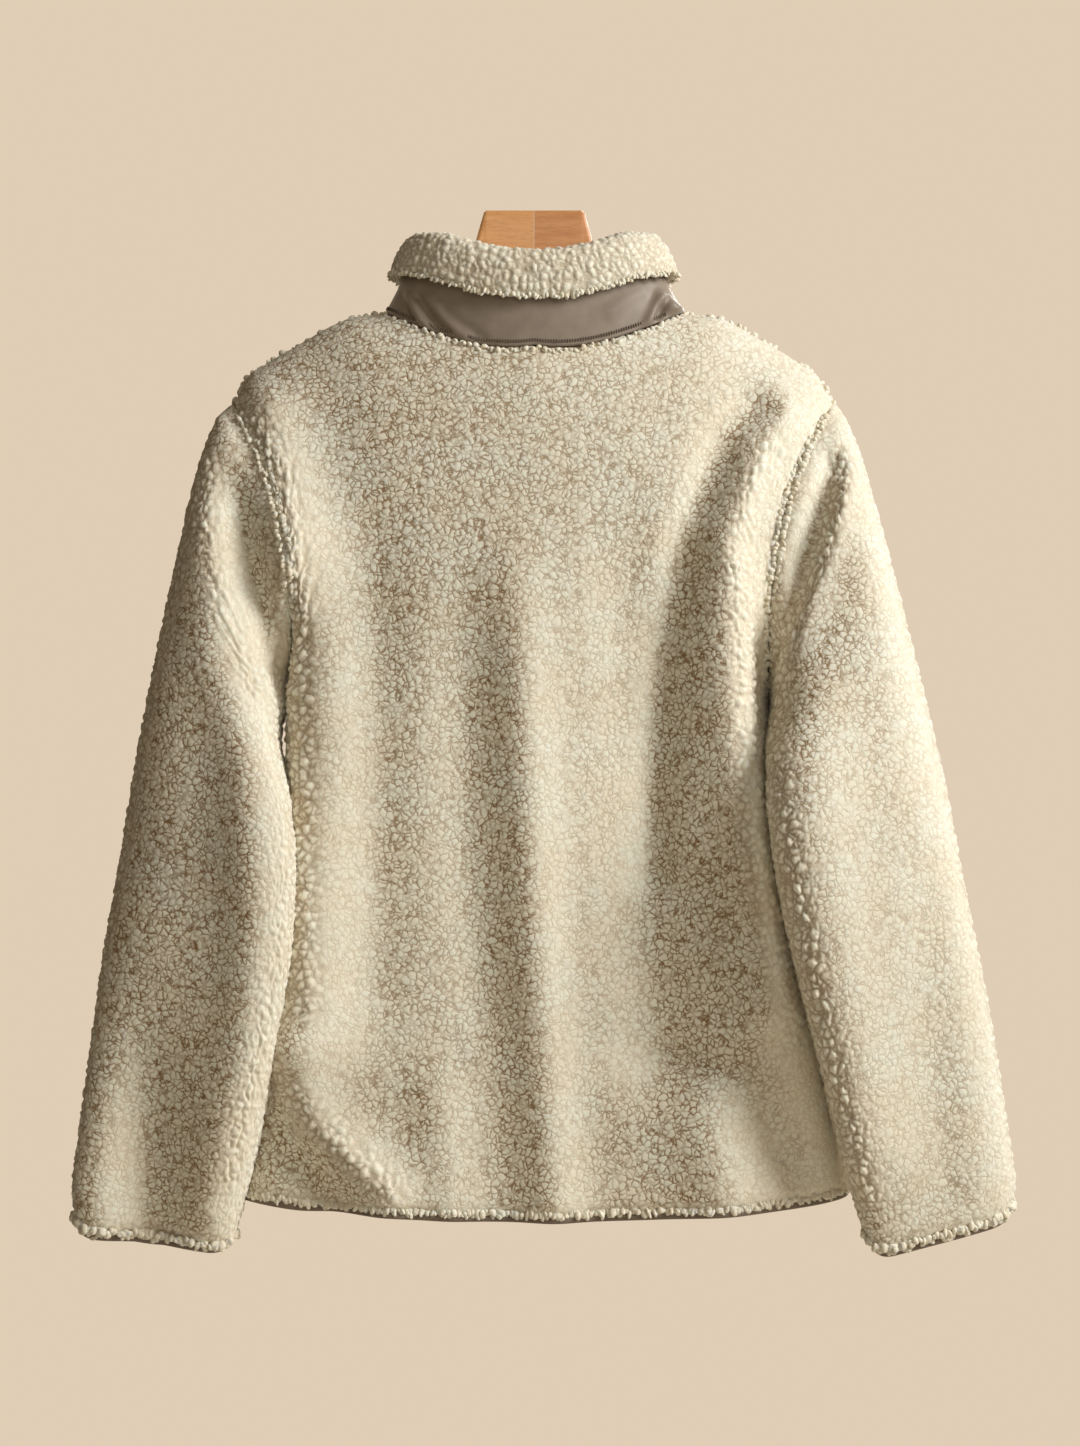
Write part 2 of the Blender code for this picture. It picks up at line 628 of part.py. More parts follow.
def binding(name, edge, normal, down, material, wrap):
    """A folded tape round a raw edge: a band that goes on from the cloth, a little inside it."""
    down = unit(down)
    outer = edge - BINDING_INSET * normal
    inner = outer - BINDING_WALL * normal
    top, bottom = BINDING_GAP * down, (BINDING_GAP + BINDING_HEIGHT) * down
    cloth_wall(
        name,
        np.stack([outer + top, outer + bottom]),
        np.stack([inner + top, inner + bottom]),
        material,
        wrap,
    )


def make_bindings(halves, sleeves, tape):
    edge, normal, _ = round_body(halves, 0, None)
    binding("hem_binding", edge, normal, np.array([[0, 0, -1.0]]), tape, False)
    for side, name in ((LEFT, "cuff_binding_left"), (RIGHT, "cuff_binding_right")):
        grid, normal = sleeves[side]
        binding(name, grid[-1], normal[-1], grid[-1] - grid[-2], tape, True)


def collar_frame(halves):
    """Base points, unit rise, unit outward direction and height of the collar round the neck."""
    points, normals, faces = round_body(halves, -1, NECK_STEPS + 1)
    base = points + SEAM_GAP * (normals + np.array([0, 0, 1.0]))
    middle = np.where(faces == FRONT, FRONT_EDGE, 0.0)
    share = (np.abs(points[:, 0]) - middle) / (NECK_POINT[0] - middle)
    fore = np.sqrt(np.clip(1 - (points[:, 0] / NECK_POINT[0]) ** 2, 0, 1))
    depth = np.where(faces == FRONT, STAND_TOP_DEPTH[FRONT], STAND_TOP_DEPTH[BACK])
    end_z = np.where(faces == FRONT, COLLAR_TOP_Z[FRONT], COLLAR_TOP_Z[BACK])
    top = np.stack(
        [
            np.sign(points[:, 0]) * (middle + share * (STAND_TOP_X - middle)),
            HANG_PLANE + faces * depth * fore,
            COLLAR_TOP_Z[0] + (end_z - COLLAR_TOP_Z[0]) * fore**2,
        ],
        -1,
    )
    rise = unit(top - base)
    outward = np.cross(np.gradient(base, axis=0), rise)
    away = (base - (0, HANG_PLANE, 0)) * (1, 1, 0)
    outward = outward * np.where((outward * away).sum(-1, keepdims=True) < 0, -1, 1)
    outward[[0, -1], 0] = 0
    outward[len(outward) // 2, 0] = 0
    return base, rise, unit(outward), np.linalg.norm(top - base, axis=-1)


def make_collar(halves, fleece, shell):
    """The nylon stand, and the pile piece that lines it and turns down over its upper half."""
    base, rise, outward, height = collar_frame(halves)
    reach = (height - STAND_SHORT)[:, None]
    levels = np.linspace(0, 1, STAND_ROWS + 1)
    outer = np.stack([base + share * reach * rise for share in levels])
    cloth_wall("collar_stand", outer, outer - SHELL_WALL * outward[None], shell)

    inside = -SHELL_WALL - ROLL_GAP - TAPE_THICK
    from_base = ((inside, LINING_LIFT), (inside - LINING_WALL, LINING_LIFT))
    from_top = ((inside - LINING_WALL, LINING_BENDS), *ROLL, (inside, LINING_JOINS))
    rings = []
    for point, up, out, tall in zip(base, rise, outward, height):
        ring = [point + out * n + up * u for n, u in from_base]
        ring += [point + out * n + up * (tall + u) for n, u in from_top]
        rings.append(ring)
    lofted_bar("collar_pile", rings, fleece)


def front_line(halves):
    """Points and outward directions of the zip, up the middle of the closed front."""
    grid, inner, normal = (part[:, 0] for part in halves[FRONT, RIGHT])
    body_z = np.linspace(HEM_Z + ZIP_FROM, inner[-1, 2] - ZIP_NECK, ZIP_ROWS)
    tilt = smooth(grid[:, 2], normal[:, 1], body_z)
    body_y = smooth(grid[:, 2], grid[:, 1], body_z) - ZIP_BEHIND / tilt
    body = np.stack([np.zeros(ZIP_ROWS), body_y, body_z], -1)
    neck = inner[-1] - np.array([0, NECK_BEHIND, 0])
    base, rise, outward, height = collar_frame(halves)
    behind = SHELL_WALL + SEAM_GAP + TAPE_THICK / 2
    levels = np.array([*ZIP_LEVELS, height[0] - ZIP_SHORT])
    stand = base[0] + levels[:, None] * rise[0] - behind * outward[0]
    line = np.concatenate([body, neck[None], stand]) * (0, 1, 1)
    run = unit(np.gradient(line, axis=0))
    return line, np.cross(run, (1.0, 0, 0))


def strip(name, line, facing, near, far, thick, bow, material):
    """A band that follows a line in the middle plane, its far edge bowed back a little."""
    rings = []
    for point, out in zip(line, facing):
        back, fore = -out * thick / 2, out * thick / 2
        corners = ((near, back), (far, back - bow * out), (far, fore - bow * out), (near, fore))
        rings.append([point + shift + np.array([x, 0, 0]) for x, shift in corners])
    return lofted_bar(name, rings, material)


def make_zip(halves, tape, metal):
    line, facing = front_line(halves)
    strip("zip_chain", line, facing, -ZIP_HALF, ZIP_HALF, CHAIN_THICK, 0, metal)
    near, far = ZIP_HALF + SEAM_GAP, ZIP_HALF + TAPE_WIDTH
    for side, name in ((LEFT, "zip_tape_left"), (RIGHT, "zip_tape_right")):
        strip(name, line, facing, side * near, side * far, TAPE_THICK, TAPE_BOW, tape)
    below = line[0] + np.array([0, 0, -SEAM_GAP - BOX_SIZE[2] / 2])
    box("zip_box", BOX_SIZE, below, metal)
    make_slider(line, metal)


def make_slider(line, metal):
    """The slider at the top of the chain, and the pull that swings on its pin."""
    distance = np.concatenate(
        [[0], np.cumsum(np.linalg.norm(np.diff(line, axis=0), axis=1))]
    )
    at = distance[-1] - SLIDER_DOWN
    i = int(np.searchsorted(distance, at)) - 1
    share = (at - distance[i]) / (distance[i + 1] - distance[i])
    point = line[i] + share * (line[i + 1] - line[i])
    up = unit(line[i + 1] - line[i])
    out = unit(np.array([0, up[2], -up[1]]))
    lift = CHAIN_THICK / 2 + SEAM_GAP + SLIDER_PLATE[1] / 2
    turn = Matrix.Rotation(math.atan2(-up[1], up[2]), 4, "X")
    plate = box("zip_slider", SLIDER_PLATE, point + out * lift, metal, turn)
    pin_at = point + out * (lift + SLIDER_PLATE[1] / 2 + PIN_STANDS)
    lug_from = lift + SLIDER_PLATE[1] / 4
    lug_to = lift + SLIDER_PLATE[1] / 2 + PIN_STANDS + PIN_RADIUS + LUG_OVER
    lug_x = BARREL_WIDTH / 2 + SEAM_GAP + LUG_WIDTH / 2
    for side in (LEFT, RIGHT):
        centre = point + out * (lug_from + lug_to) / 2 + np.array([side * lug_x, 0, 0])
        size = (LUG_WIDTH, lug_to - lug_from, LUG_DEPTH)
        lug = box(f"lug_{side}", size, centre, metal, turn)
        join_solid(plate, lug, "UNION")
    pin = cylinder("pin", PIN_RADIUS, 2 * lug_x + LUG_WIDTH / 2, pin_at, metal)
    join_solid(plate, pin, "UNION")

    pull = cylinder("zip_pull", BARREL_RADIUS, BARREL_WIDTH, pin_at, metal)
    neck_size = (BARREL_WIDTH, PULL_SIZE[1], NECK_LENGTH)
    neck = box("pull_neck", neck_size, pin_at - np.array([0, 0, NECK_DOWN]), metal)
    blade = box("pull_blade", PULL_SIZE, pin_at - np.array([0, 0, BLADE_DOWN]), metal)
    eye = cylinder("pull_eye", EYE_RADIUS, BARREL_WIDTH * 2, pin_at, metal)
    join_solid(pull, neck, "UNION")
    join_solid(pull, blade, "UNION")
    join_solid(pull, eye, "DIFFERENCE")


def make_hanger(wood):
    """Two halves that meet in the middle of the block, each a bar through rounded sections."""
    turn = np.linspace(0, 2 * math.pi, HANGER_SIDES + 1)[:-1] + math.pi / HANGER_SIDES
    for side, name in ((LEFT, "hanger_left"), (RIGHT, "hanger_right")):
        rings = []
        for row in HANGER:
            c, s = oval(turn, row.power)
            c, s = c / c.max(), s / s.max()
            x = np.full_like(c, side * row.x)
            y = HANG_PLANE + c * row.thick / 2
            z = (row.top + row.bottom) / 2 + s * (row.top - row.bottom) / 2
            rings.append(np.stack([x, y, z], -1))
        lofted_bar(name, rings, wood)


for old in list(bpy.data.objects):
    bpy.data.objects.remove(old)
JACKET = bpy.data.collections.new("sherpa_jacket")
HELPERS = bpy.data.collections.new("helpers")
bpy.context.scene.collection.children.link(JACKET)
bpy.context.scene.collection.children.link(HELPERS)

FLEECE = new_material("sherpa_fleece", (0.80, 0.75, 0.64), 0.95)
SHELL = new_material("woven_nylon", (0.26, 0.22, 0.18), 0.6)
METAL = new_material("zip_metal", (0.30, 0.26, 0.22), 0.4)
WOOD = new_material("beech", (0.62, 0.36, 0.18), 0.45)

HALVES = make_body(FLEECE)
SLEEVE_GRIDS = {
    LEFT: make_sleeve("sleeve_left", LEFT, HALVES, FLEECE),
    RIGHT: make_sleeve("sleeve_right", RIGHT, HALVES, FLEECE),
}
make_bindings(HALVES, SLEEVE_GRIDS, SHELL)
make_collar(HALVES, FLEECE, SHELL)
make_zip(HALVES, SHELL, METAL)
make_hanger(WOOD)
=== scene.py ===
"""The looks of a sherpa fleece jacket that hangs by its shoulders on a wooden hanger.

Metres, +Z up; the back of the jacket faces -Y and its zipped front faces +Y. The cloth follows
the same lines as the cut pieces, far more finely divided, and its pile is raised curl by curl.
"""

import math
from collections import namedtuple

import bmesh
import bpy
import numpy as np
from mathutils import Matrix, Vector


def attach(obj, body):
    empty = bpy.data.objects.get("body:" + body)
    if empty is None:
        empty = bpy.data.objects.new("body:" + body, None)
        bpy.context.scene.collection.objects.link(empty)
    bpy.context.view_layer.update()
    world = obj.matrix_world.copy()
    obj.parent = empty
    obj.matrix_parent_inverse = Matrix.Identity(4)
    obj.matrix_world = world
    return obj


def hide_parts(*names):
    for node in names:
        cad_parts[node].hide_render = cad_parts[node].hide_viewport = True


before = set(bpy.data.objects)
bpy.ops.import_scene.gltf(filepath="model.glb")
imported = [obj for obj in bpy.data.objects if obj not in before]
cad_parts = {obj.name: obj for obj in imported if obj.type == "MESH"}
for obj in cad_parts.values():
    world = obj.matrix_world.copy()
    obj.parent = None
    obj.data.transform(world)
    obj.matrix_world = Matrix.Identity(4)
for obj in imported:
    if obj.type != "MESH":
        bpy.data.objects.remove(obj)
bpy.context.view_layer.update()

# ---------------------------------------------------------------- the cut and the hang

BACK, FRONT = -1, 1
LEFT, RIGHT = -1, 1  # as the wearer has them
SIDES = ((LEFT, "left"), (RIGHT, "right"))
# The body's quarters from one front edge round the back to the other, and which way each runs
ROUND_THE_BODY = ((FRONT, LEFT, 1), (BACK, LEFT, -1), (BACK, RIGHT, 1), (FRONT, RIGHT, -1))
PILE_WALL = 0.006
SHELL_WALL = 0.0015
SEAM_GAP = 0.0003
ARMHOLE_GAP = 0.0004
HANG_PLANE = -0.011
HEM_Z = -0.761
HEM_LIFT = 0.015
UNDERARM_Z = -0.362
SHOULDER_TIP = (0.236, -0.128)
NECK_POINT = (0.1176, -0.058)
NECK_TURN = {BACK: 32.8, FRONT: 42.5}
RIDGE_SLOPE = 0.15
ARMHOLE_DEPTH = {BACK: 0.052, FRONT: 0.044}
SHOULDER_ROUNDING = 2.2
SIDE_POWER = {BACK: 6.0, FRONT: 3.2}
CHEST_POWER = 0.6
CHEST_OPENS = 0.25
CROWN_POWER = 4
FRONT_EDGE = 0.0065
FOLD_SIDE_POWER = 14
FOLD_TOP_FROM = 1.2
ARMHOLE_LIFT = 0.85  # the share of the back's folds that carries on over the armhole seam
ARMHOLE_LIFT_FROM = 0.2  # shares of the armhole's height at which that starts, and over which
ARMHOLE_LIFT_OVER = 0.25  # it comes in
ZIP_FLAT = 0.2
SLEEVE_FOLDS_FROM = 0.7
SLEEVE_OVAL = {-1: 4.5, 1: 3.0}  # how squared its section is towards the inner and outer point
SLEEVE_TWIST = {LEFT: 0.20, RIGHT: 0.10}  # how far a sleeve turns its back outwards
CUFF_TWIST = {LEFT: -0.12, RIGHT: 0.08}  # and how far at the cuff
TWIST_OVER = 3  # sections over which the sleeve's turn comes in
CUFF_TWIST_FROM = 6  # and from which, and over how many, it changes to the cuff's
CUFF_TWIST_OVER = 4
CAP_SHARE = 0.3

# Plan sections of the torso: half widths to the wearer's left and right, and depths
TorsoSection = namedtuple("TorsoSection", "z left right back front")
TORSO = (
    TorsoSection(-0.780, 0.242, 0.254, 0.058, 0.055),
    TorsoSection(-0.650, 0.224, 0.238, 0.063, 0.060),
    TorsoSection(-0.550, 0.208, 0.219, 0.068, 0.063),
    TorsoSection(-0.450, 0.196, 0.201, 0.072, 0.065),
    TorsoSection(-0.362, 0.187, 0.184, 0.073, 0.066),
    TorsoSection(-0.300, 0.187, 0.184, 0.073, 0.066),
)

# The shoulder seam, which bends over the hanger's end
ShoulderPoint = namedtuple("ShoulderPoint", "x z")
SHOULDER = (
    ShoulderPoint(*NECK_POINT),
    ShoulderPoint(0.148, -0.0625),
    ShoulderPoint(0.184, -0.0815),
    ShoulderPoint(0.209, -0.0970),
    ShoulderPoint(0.2275, -0.1120),
    ShoulderPoint(*SHOULDER_TIP),
)

# How far out the armhole seam runs, from the underarm up to the shoulder tip
ArmholeSection = namedtuple("ArmholeSection", "z reach")
ARMHOLE = (
    ArmholeSection(-0.400, 0.188),
    ArmholeSection(-0.362, 0.186),
    ArmholeSection(-0.325, 0.184),
    ArmholeSection(-0.275, 0.187),
    ArmholeSection(-0.225, 0.194),
    ArmholeSection(-0.185, 0.205),
    ArmholeSection(-0.155, 0.219),
    ArmholeSection(-0.128, 0.236),
)

# Sleeve sections from armhole to cuff. Each is an oval between an outer and an inner point,
# which fan out from the underarm as the sleeve turns down. Depths are to the back and front of y.
SleeveSection = namedtuple("SleeveSection", "outer_x outer_z inner_x inner_z y back front")
SLEEVES = {
    LEFT: (
        SleeveSection(0.236, -0.128, 0.187, -0.362, -0.011, 0.052, 0.044),
        SleeveSection(0.250, -0.147, 0.190, -0.368, -0.017, 0.052, 0.044),
        SleeveSection(0.264, -0.190, 0.194, -0.374, -0.027, 0.051, 0.042),
        SleeveSection(0.281, -0.262, 0.199, -0.382, -0.040, 0.049, 0.038),
        SleeveSection(0.297, -0.342, 0.197, -0.402, -0.054, 0.046, 0.034),
        SleeveSection(0.311, -0.424, 0.186, -0.442, -0.067, 0.043, 0.031),
        SleeveSection(0.320, -0.484, 0.181, -0.494, -0.073, 0.040, 0.029),
        SleeveSection(0.331, -0.548, 0.185, -0.560, -0.074, 0.037, 0.028),
        SleeveSection(0.341, -0.618, 0.198, -0.634, -0.069, 0.034, 0.027),
        SleeveSection(0.351, -0.690, 0.212, -0.706, -0.062, 0.031, 0.026),
        SleeveSection(0.357, -0.738, 0.224, -0.754, -0.056, 0.028, 0.025),
        SleeveSection(0.356, -0.772, 0.232, -0.788, -0.052, 0.025, 0.023),
    ),
    RIGHT: (
        SleeveSection(0.236, -0.128, 0.184, -0.362, -0.011, 0.052, 0.044),
        SleeveSection(0.248, -0.147, 0.187, -0.368, -0.017, 0.052, 0.044),
        SleeveSection(0.262, -0.190, 0.190, -0.376, -0.027, 0.051, 0.042),
        SleeveSection(0.280, -0.262, 0.191, -0.386, -0.041, 0.049, 0.038),
        SleeveSection(0.299, -0.342, 0.185, -0.406, -0.056, 0.046, 0.034),
        SleeveSection(0.317, -0.424, 0.180, -0.446, -0.070, 0.043, 0.031),
        SleeveSection(0.328, -0.484, 0.185, -0.500, -0.075, 0.040, 0.029),
        SleeveSection(0.341, -0.548, 0.199, -0.566, -0.073, 0.037, 0.028),
        SleeveSection(0.355, -0.618, 0.218, -0.636, -0.067, 0.034, 0.027),
        SleeveSection(0.367, -0.690, 0.236, -0.708, -0.060, 0.031, 0.026),
        SleeveSection(0.374, -0.735, 0.248, -0.757, -0.055, 0.028, 0.025),
        SleeveSection(0.373, -0.762, 0.256, -0.791, -0.051, 0.025, 0.023),
    ),
}

# The largest folds, as soft ridges (+) and troughs (-) along a line in X and Z: a Fold through
# three points, a Rope through more. One with a soft length fades in over it from its upper end.
Fold = namedtuple("Fold", "x1 z1 x2 z2 x3 z3 reach height soft", defaults=(0.0,))
Rope = namedtuple("Rope", "line reach height soft", defaults=(0.0,))
BACK_FOLDS = (
    Rope(
        ((-0.222, -0.150), (-0.190, -0.240), (-0.180, -0.325), (-0.176, -0.400),
         (-0.174, -0.520), (-0.180, -0.620)), 0.036, 0.025),
    Fold(-0.206, -0.200, -0.186, -0.265, -0.180, -0.360, 0.036, 0.009, 0.060),
    Fold(-0.188, -0.640, -0.170, -0.695, -0.112, -0.745, 0.022, 0.011),
    Fold(-0.196, -0.700, -0.165, -0.745, -0.140, -0.790, 0.020, -0.010),
    Fold(-0.128, -0.180, -0.126, -0.460, -0.130, -0.580, 0.026, -0.004, 0.130),
    Fold(-0.056, -0.220, -0.054, -0.460, -0.040, -0.600, 0.022, -0.003, 0.160),
    Fold(-0.016, -0.190, -0.003, -0.500, 0.016, -0.780, 0.024, 0.010, 0.200),
    Fold(-0.078, -0.620, -0.072, -0.700, -0.066, -0.780, 0.022, 0.005, 0.060),
    Fold(0.076, -0.170, 0.080, -0.460, 0.100, -0.640, 0.036, -0.012, 0.160),
    Fold(0.084, -0.610, 0.130, -0.655, 0.190, -0.705, 0.030, -0.007, 0.040),
    Rope(
        ((0.192, -0.145), (0.172, -0.168), (0.146, -0.238), (0.149, -0.324), (0.156, -0.410),
         (0.168, -0.500), (0.180, -0.600)), 0.023, 0.018),
    Rope(
        ((0.172, -0.138), (0.150, -0.165), (0.120, -0.238), (0.103, -0.324), (0.096, -0.410),
         (0.093, -0.500)), 0.017, -0.009),
    Fold(0.126, -0.640, 0.142, -0.710, 0.152, -0.790, 0.030, 0.009, 0.030),
    Fold(0.000, -0.250, 0.000, -0.500, 0.000, -0.700, 0.110, -0.008, 0.150),
)
FRONT_FOLDS = (
    Rope(
        ((-0.190, -0.170), (-0.158, -0.260), (-0.160, -0.440), (-0.166, -0.580),
         (-0.180, -0.760)), 0.024, 0.013),
    Rope(
        ((0.188, -0.170), (0.162, -0.260), (0.158, -0.420), (0.164, -0.600),
         (0.172, -0.760)), 0.024, 0.012),
    Fold(-0.085, -0.280, -0.098, -0.500, -0.080, -0.770, 0.030, -0.009, 0.080),
    Fold(0.080, -0.240, 0.096, -0.500, 0.082, -0.770, 0.032, -0.010, 0.080),
    Fold(-0.205, -0.730, -0.165, -0.690, -0.115, -0.610, 0.022, -0.006, 0.030),
    Fold(0.196, -0.745, 0.160, -0.700, 0.112, -0.630, 0.024, 0.006, 0.030),
)
SLEEVE_FOLDS = {
    LEFT: (
        Rope(
            ((-0.249, -0.150), (-0.260, -0.200), (-0.244, -0.320), (-0.218, -0.410),
             (-0.212, -0.530), (-0.220, -0.620), (-0.250, -0.750)), 0.023, 0.0085),
        Fold(-0.290, -0.540, -0.298, -0.660, -0.296, -0.770, 0.030, -0.015, 0.180),
        Fold(-0.238, -0.170, -0.217, -0.270, -0.193, -0.345, 0.012, -0.010, 0.070),
    ),
    RIGHT: (
        Fold(0.231, -0.180, 0.208, -0.258, 0.184, -0.340, 0.012, -0.010),
        Fold(0.240, -0.200, 0.220, -0.268, 0.196, -0.345, 0.012, 0.005),
        Fold(0.198, -0.310, 0.210, -0.480, 0.246, -0.700, 0.038, 0.009),
        Fold(0.300, -0.500, 0.306, -0.620, 0.316, -0.740, 0.020, -0.002),
    ),
}

# The narrow ropes of beaded pile along seams and folds
ARMHOLE_ROPES = {
    LEFT: Rope(
        ((-0.234, -0.132), (-0.220, -0.152), (-0.204, -0.182), (-0.194, -0.224),
         (-0.191, -0.282), (-0.186, -0.352)), 0.0080, 0.0012),
    RIGHT: Rope(
        ((0.238, -0.134), (0.218, -0.159), (0.205, -0.187), (0.195, -0.222),
         (0.187, -0.261), (0.183, -0.316), (0.185, -0.355)), 0.0080, 0.0012),
}
BACK_ROPES = (
    *ARMHOLE_ROPES.values(),
    Rope(
        ((-0.208, -0.151), (-0.191, -0.189), (-0.179, -0.243), (-0.172, -0.285),
         (-0.169, -0.328), (-0.168, -0.410), (-0.169, -0.520), (-0.166, -0.598)), 0.0095, 0.0022),
    Rope(((-0.182, -0.394), (-0.179, -0.520), (-0.187, -0.583), (-0.196, -0.645)), 0.0090, 0.0012),
    Rope(((-0.203, -0.637), (-0.190, -0.657), (-0.160, -0.692), (-0.112, -0.738)), 0.0110, 0.0018),
    Rope(
        ((0.185, -0.167), (0.175, -0.187), (0.162, -0.218), (0.155, -0.257), (0.154, -0.292),
         (0.158, -0.347), (0.160, -0.418), (0.171, -0.504), (0.185, -0.567), (0.201, -0.630)),
        0.0100, 0.0022),
)
SLEEVE_ROPES = {
    LEFT: (
        ARMHOLE_ROPES[LEFT],
        Rope(
            ((-0.251, -0.183), (-0.254, -0.212), (-0.245, -0.261), (-0.230, -0.312),
             (-0.213, -0.355)), 0.0095, 0.0018),
        Rope(
            ((-0.195, -0.363), (-0.187, -0.418), (-0.184, -0.481), (-0.189, -0.543),
             (-0.202, -0.606), (-0.220, -0.669), (-0.234, -0.731)), 0.0100, 0.0012),
    ),
    RIGHT: (
        ARMHOLE_ROPES[RIGHT],
        Rope(
            ((0.240, -0.171), (0.234, -0.206), (0.220, -0.253), (0.205, -0.300),
             (0.193, -0.347), (0.185, -0.390)), 0.0095, 0.0018),
        Rope(
            ((0.187, -0.410), (0.195, -0.481), (0.209, -0.551), (0.224, -0.622),
             (0.244, -0.692), (0.257, -0.743)), 0.0100, 0.0012),
    ),
}

# Collar
STAND_TOP_X = 0.086
STAND_TOP_DEPTH = {-1: 0.041, 1: 0.043}
COLLAR_TOP_Z = {-1: -0.008, 0: 0.003, 1: -0.046}  # at the back, the side and the front
STAND_SHORT = 0.014  # the nylon stand ends this far under the roll's top
ROLL_FALL = 0.040  # how far the turned-down pile hangs over the stand
LINING_WALL = 0.005
LINING_LIFT = 0.0016  # the lining starts this far above the neck seam, over its allowances
ROLL_GAP = 0.0009  # between the turned-down pile and the stand
ZIP_LEVELS = (0.0008, 0.016, 0.030)  # heights on the stand that the zip passes
# The roll's section: out from the stand's face, up from the collar's top, and how high its curls
RollPoint = namedtuple("RollPoint", "out up curls")
ROLL = (
    RollPoint(-0.0050, -0.002, 0.9),
    RollPoint(0.0008, 0.0, 1.0),
    RollPoint(0.0062, -0.003, 1.0),
    RollPoint(0.0092, -0.011, 1.0),
    RollPoint(0.0098, -0.024, 1.0),
    RollPoint(0.0088, -ROLL_FALL + 0.003, 1.0),
    RollPoint(0.0060, -ROLL_FALL - 0.0005, 0.9),
    RollPoint(0.0026, -ROLL_FALL - 0.0005, 0.5),
    RollPoint(ROLL_GAP, -ROLL_FALL + 0.002, 0.0),
    RollPoint(ROLL_GAP, -0.012, 0.0),
    RollPoint(-0.0010, -0.0105, 0.0),
)
LINING_BENDS = -0.009  # the lining's inner face starts to bend over this far under the top
LINING_JOINS = -0.012  # and its outer face this far
LINING_CURLS = 0.3  # shares of their height at which its curls stand, at the neck seam
BEND_CURLS = 0.8  # and where it bends

# Bindings
BINDING_HEIGHT = 0.006
BINDING_GAP = 0.0005
BINDING_WALL = 0.0036
BINDING_INSET = 0.0015  # from the pile's outer face to the binding's

# Zip
ZIP_HALF = 0.003
TAPE_THICK = 0.001
TAPE_WIDTH = 0.009
TAPE_BOW = 0.0003  # how much further back a tape's outer edge lies
ZIP_BEHIND = 0.0077  # from the fronts' outer face back to the middle of the tape
ZIP_FROM = 0.006  # above the hem
NECK_BEHIND = 0.0024  # from the neckline's inner edge back to the middle of the tape
ZIP_NECK = 0.008  # the body's stretch ends this far below the neck seam
ZIP_SHORT = 0.0135  # the zip ends this far under the roll's top

# Hanger: one half's sections from the middle outwards
HangerSection = namedtuple("HangerSection", "x top bottom thick power")
HANGER = (
    HangerSection(0.00015, 0.0227, -0.066, 0.022, 9.0),
    HangerSection(0.0200, 0.0227, -0.066, 0.022, 9.0),
    HangerSection(0.0375, 0.0227, -0.066, 0.022, 9.0),
    HangerSection(0.0395, 0.0212, -0.067, 0.0216, 8.0),
    HangerSection(0.0440, 0.0060, -0.068, 0.022, 6.0),
    HangerSection(0.0480, -0.0090, -0.069, 0.022, 5.0),
    HangerSection(0.0540, -0.0260, -0.070, 0.022, 4.0),
    HangerSection(0.0640, -0.0400, -0.073, 0.021, 3.5),
    HangerSection(0.0900, -0.0568, -0.081, 0.019, 3.0),
    HangerSection(0.1176, -0.0681, -0.091, 0.017, 2.4),
    HangerSection(0.1500, -0.0738, -0.099, 0.017, 2.3),
    HangerSection(0.1850, -0.0912, -0.114, 0.016, 2.2),
    HangerSection(0.2050, -0.1046, -0.126, 0.015, 2.2),
    HangerSection(0.2160, -0.1146, -0.130, 0.011, 2.2),
)

# ---------------------------------------------------------------- numbers


def along(rows, key, column, at):
    """A smooth curve through one column of a table, read at values of its key column."""
    x = np.array([getattr(row, key) for row in rows])
    y = np.array([getattr(row, column) for row in rows])
    if x[0] > x[-1]:
        x, y = x[::-1], y[::-1]
    return smooth(x, y, at)


def smooth(x, y, at):
    """Cubic Hermite interpolation with slopes from the neighbouring points."""
    slope = np.gradient(y, x)
    at = np.clip(at, x[0], x[-1])
    i = np.clip(np.searchsorted(x, at) - 1, 0, len(x) - 2)
    step = x[i + 1] - x[i]
    t = (at - x[i]) / step
    return (
        (2 * t**3 - 3 * t**2 + 1) * y[i]
        + (t**3 - 2 * t**2 + t) * step * slope[i]
        + (3 * t**2 - 2 * t**3) * y[i + 1]
        + (t**3 - t**2) * step * slope[i + 1]
    )


def unit(vectors):
    return vectors / np.maximum(np.linalg.norm(vectors, axis=-1, keepdims=True), 1e-12)


def run_length(points):
    """How far along a line each of its points lies."""
    return np.concatenate([[0], np.cumsum(np.linalg.norm(np.diff(points, axis=0), axis=1))])


def even_steps(points, keys, count):
    """Keys at which a finely sampled curve is cut into steps of equal length."""
    length = run_length(points)
    return np.interp(np.linspace(0, length[-1], count + 1), length, keys)


def normals_of(grid, outward, wrap=False):
    """Unit normals of a grid of points, turned to the side that outward points to."""
    if wrap:
        around = np.roll(grid, -1, axis=1) - np.roll(grid, 1, axis=1)
    else:
        around = np.gradient(grid, axis=1)
    found = unit(np.cross(around, np.gradient(grid, axis=0)))
    turned = np.where((found * outward).sum(-1, keepdims=True) < 0, -1.0, 1.0)
    return found * turned


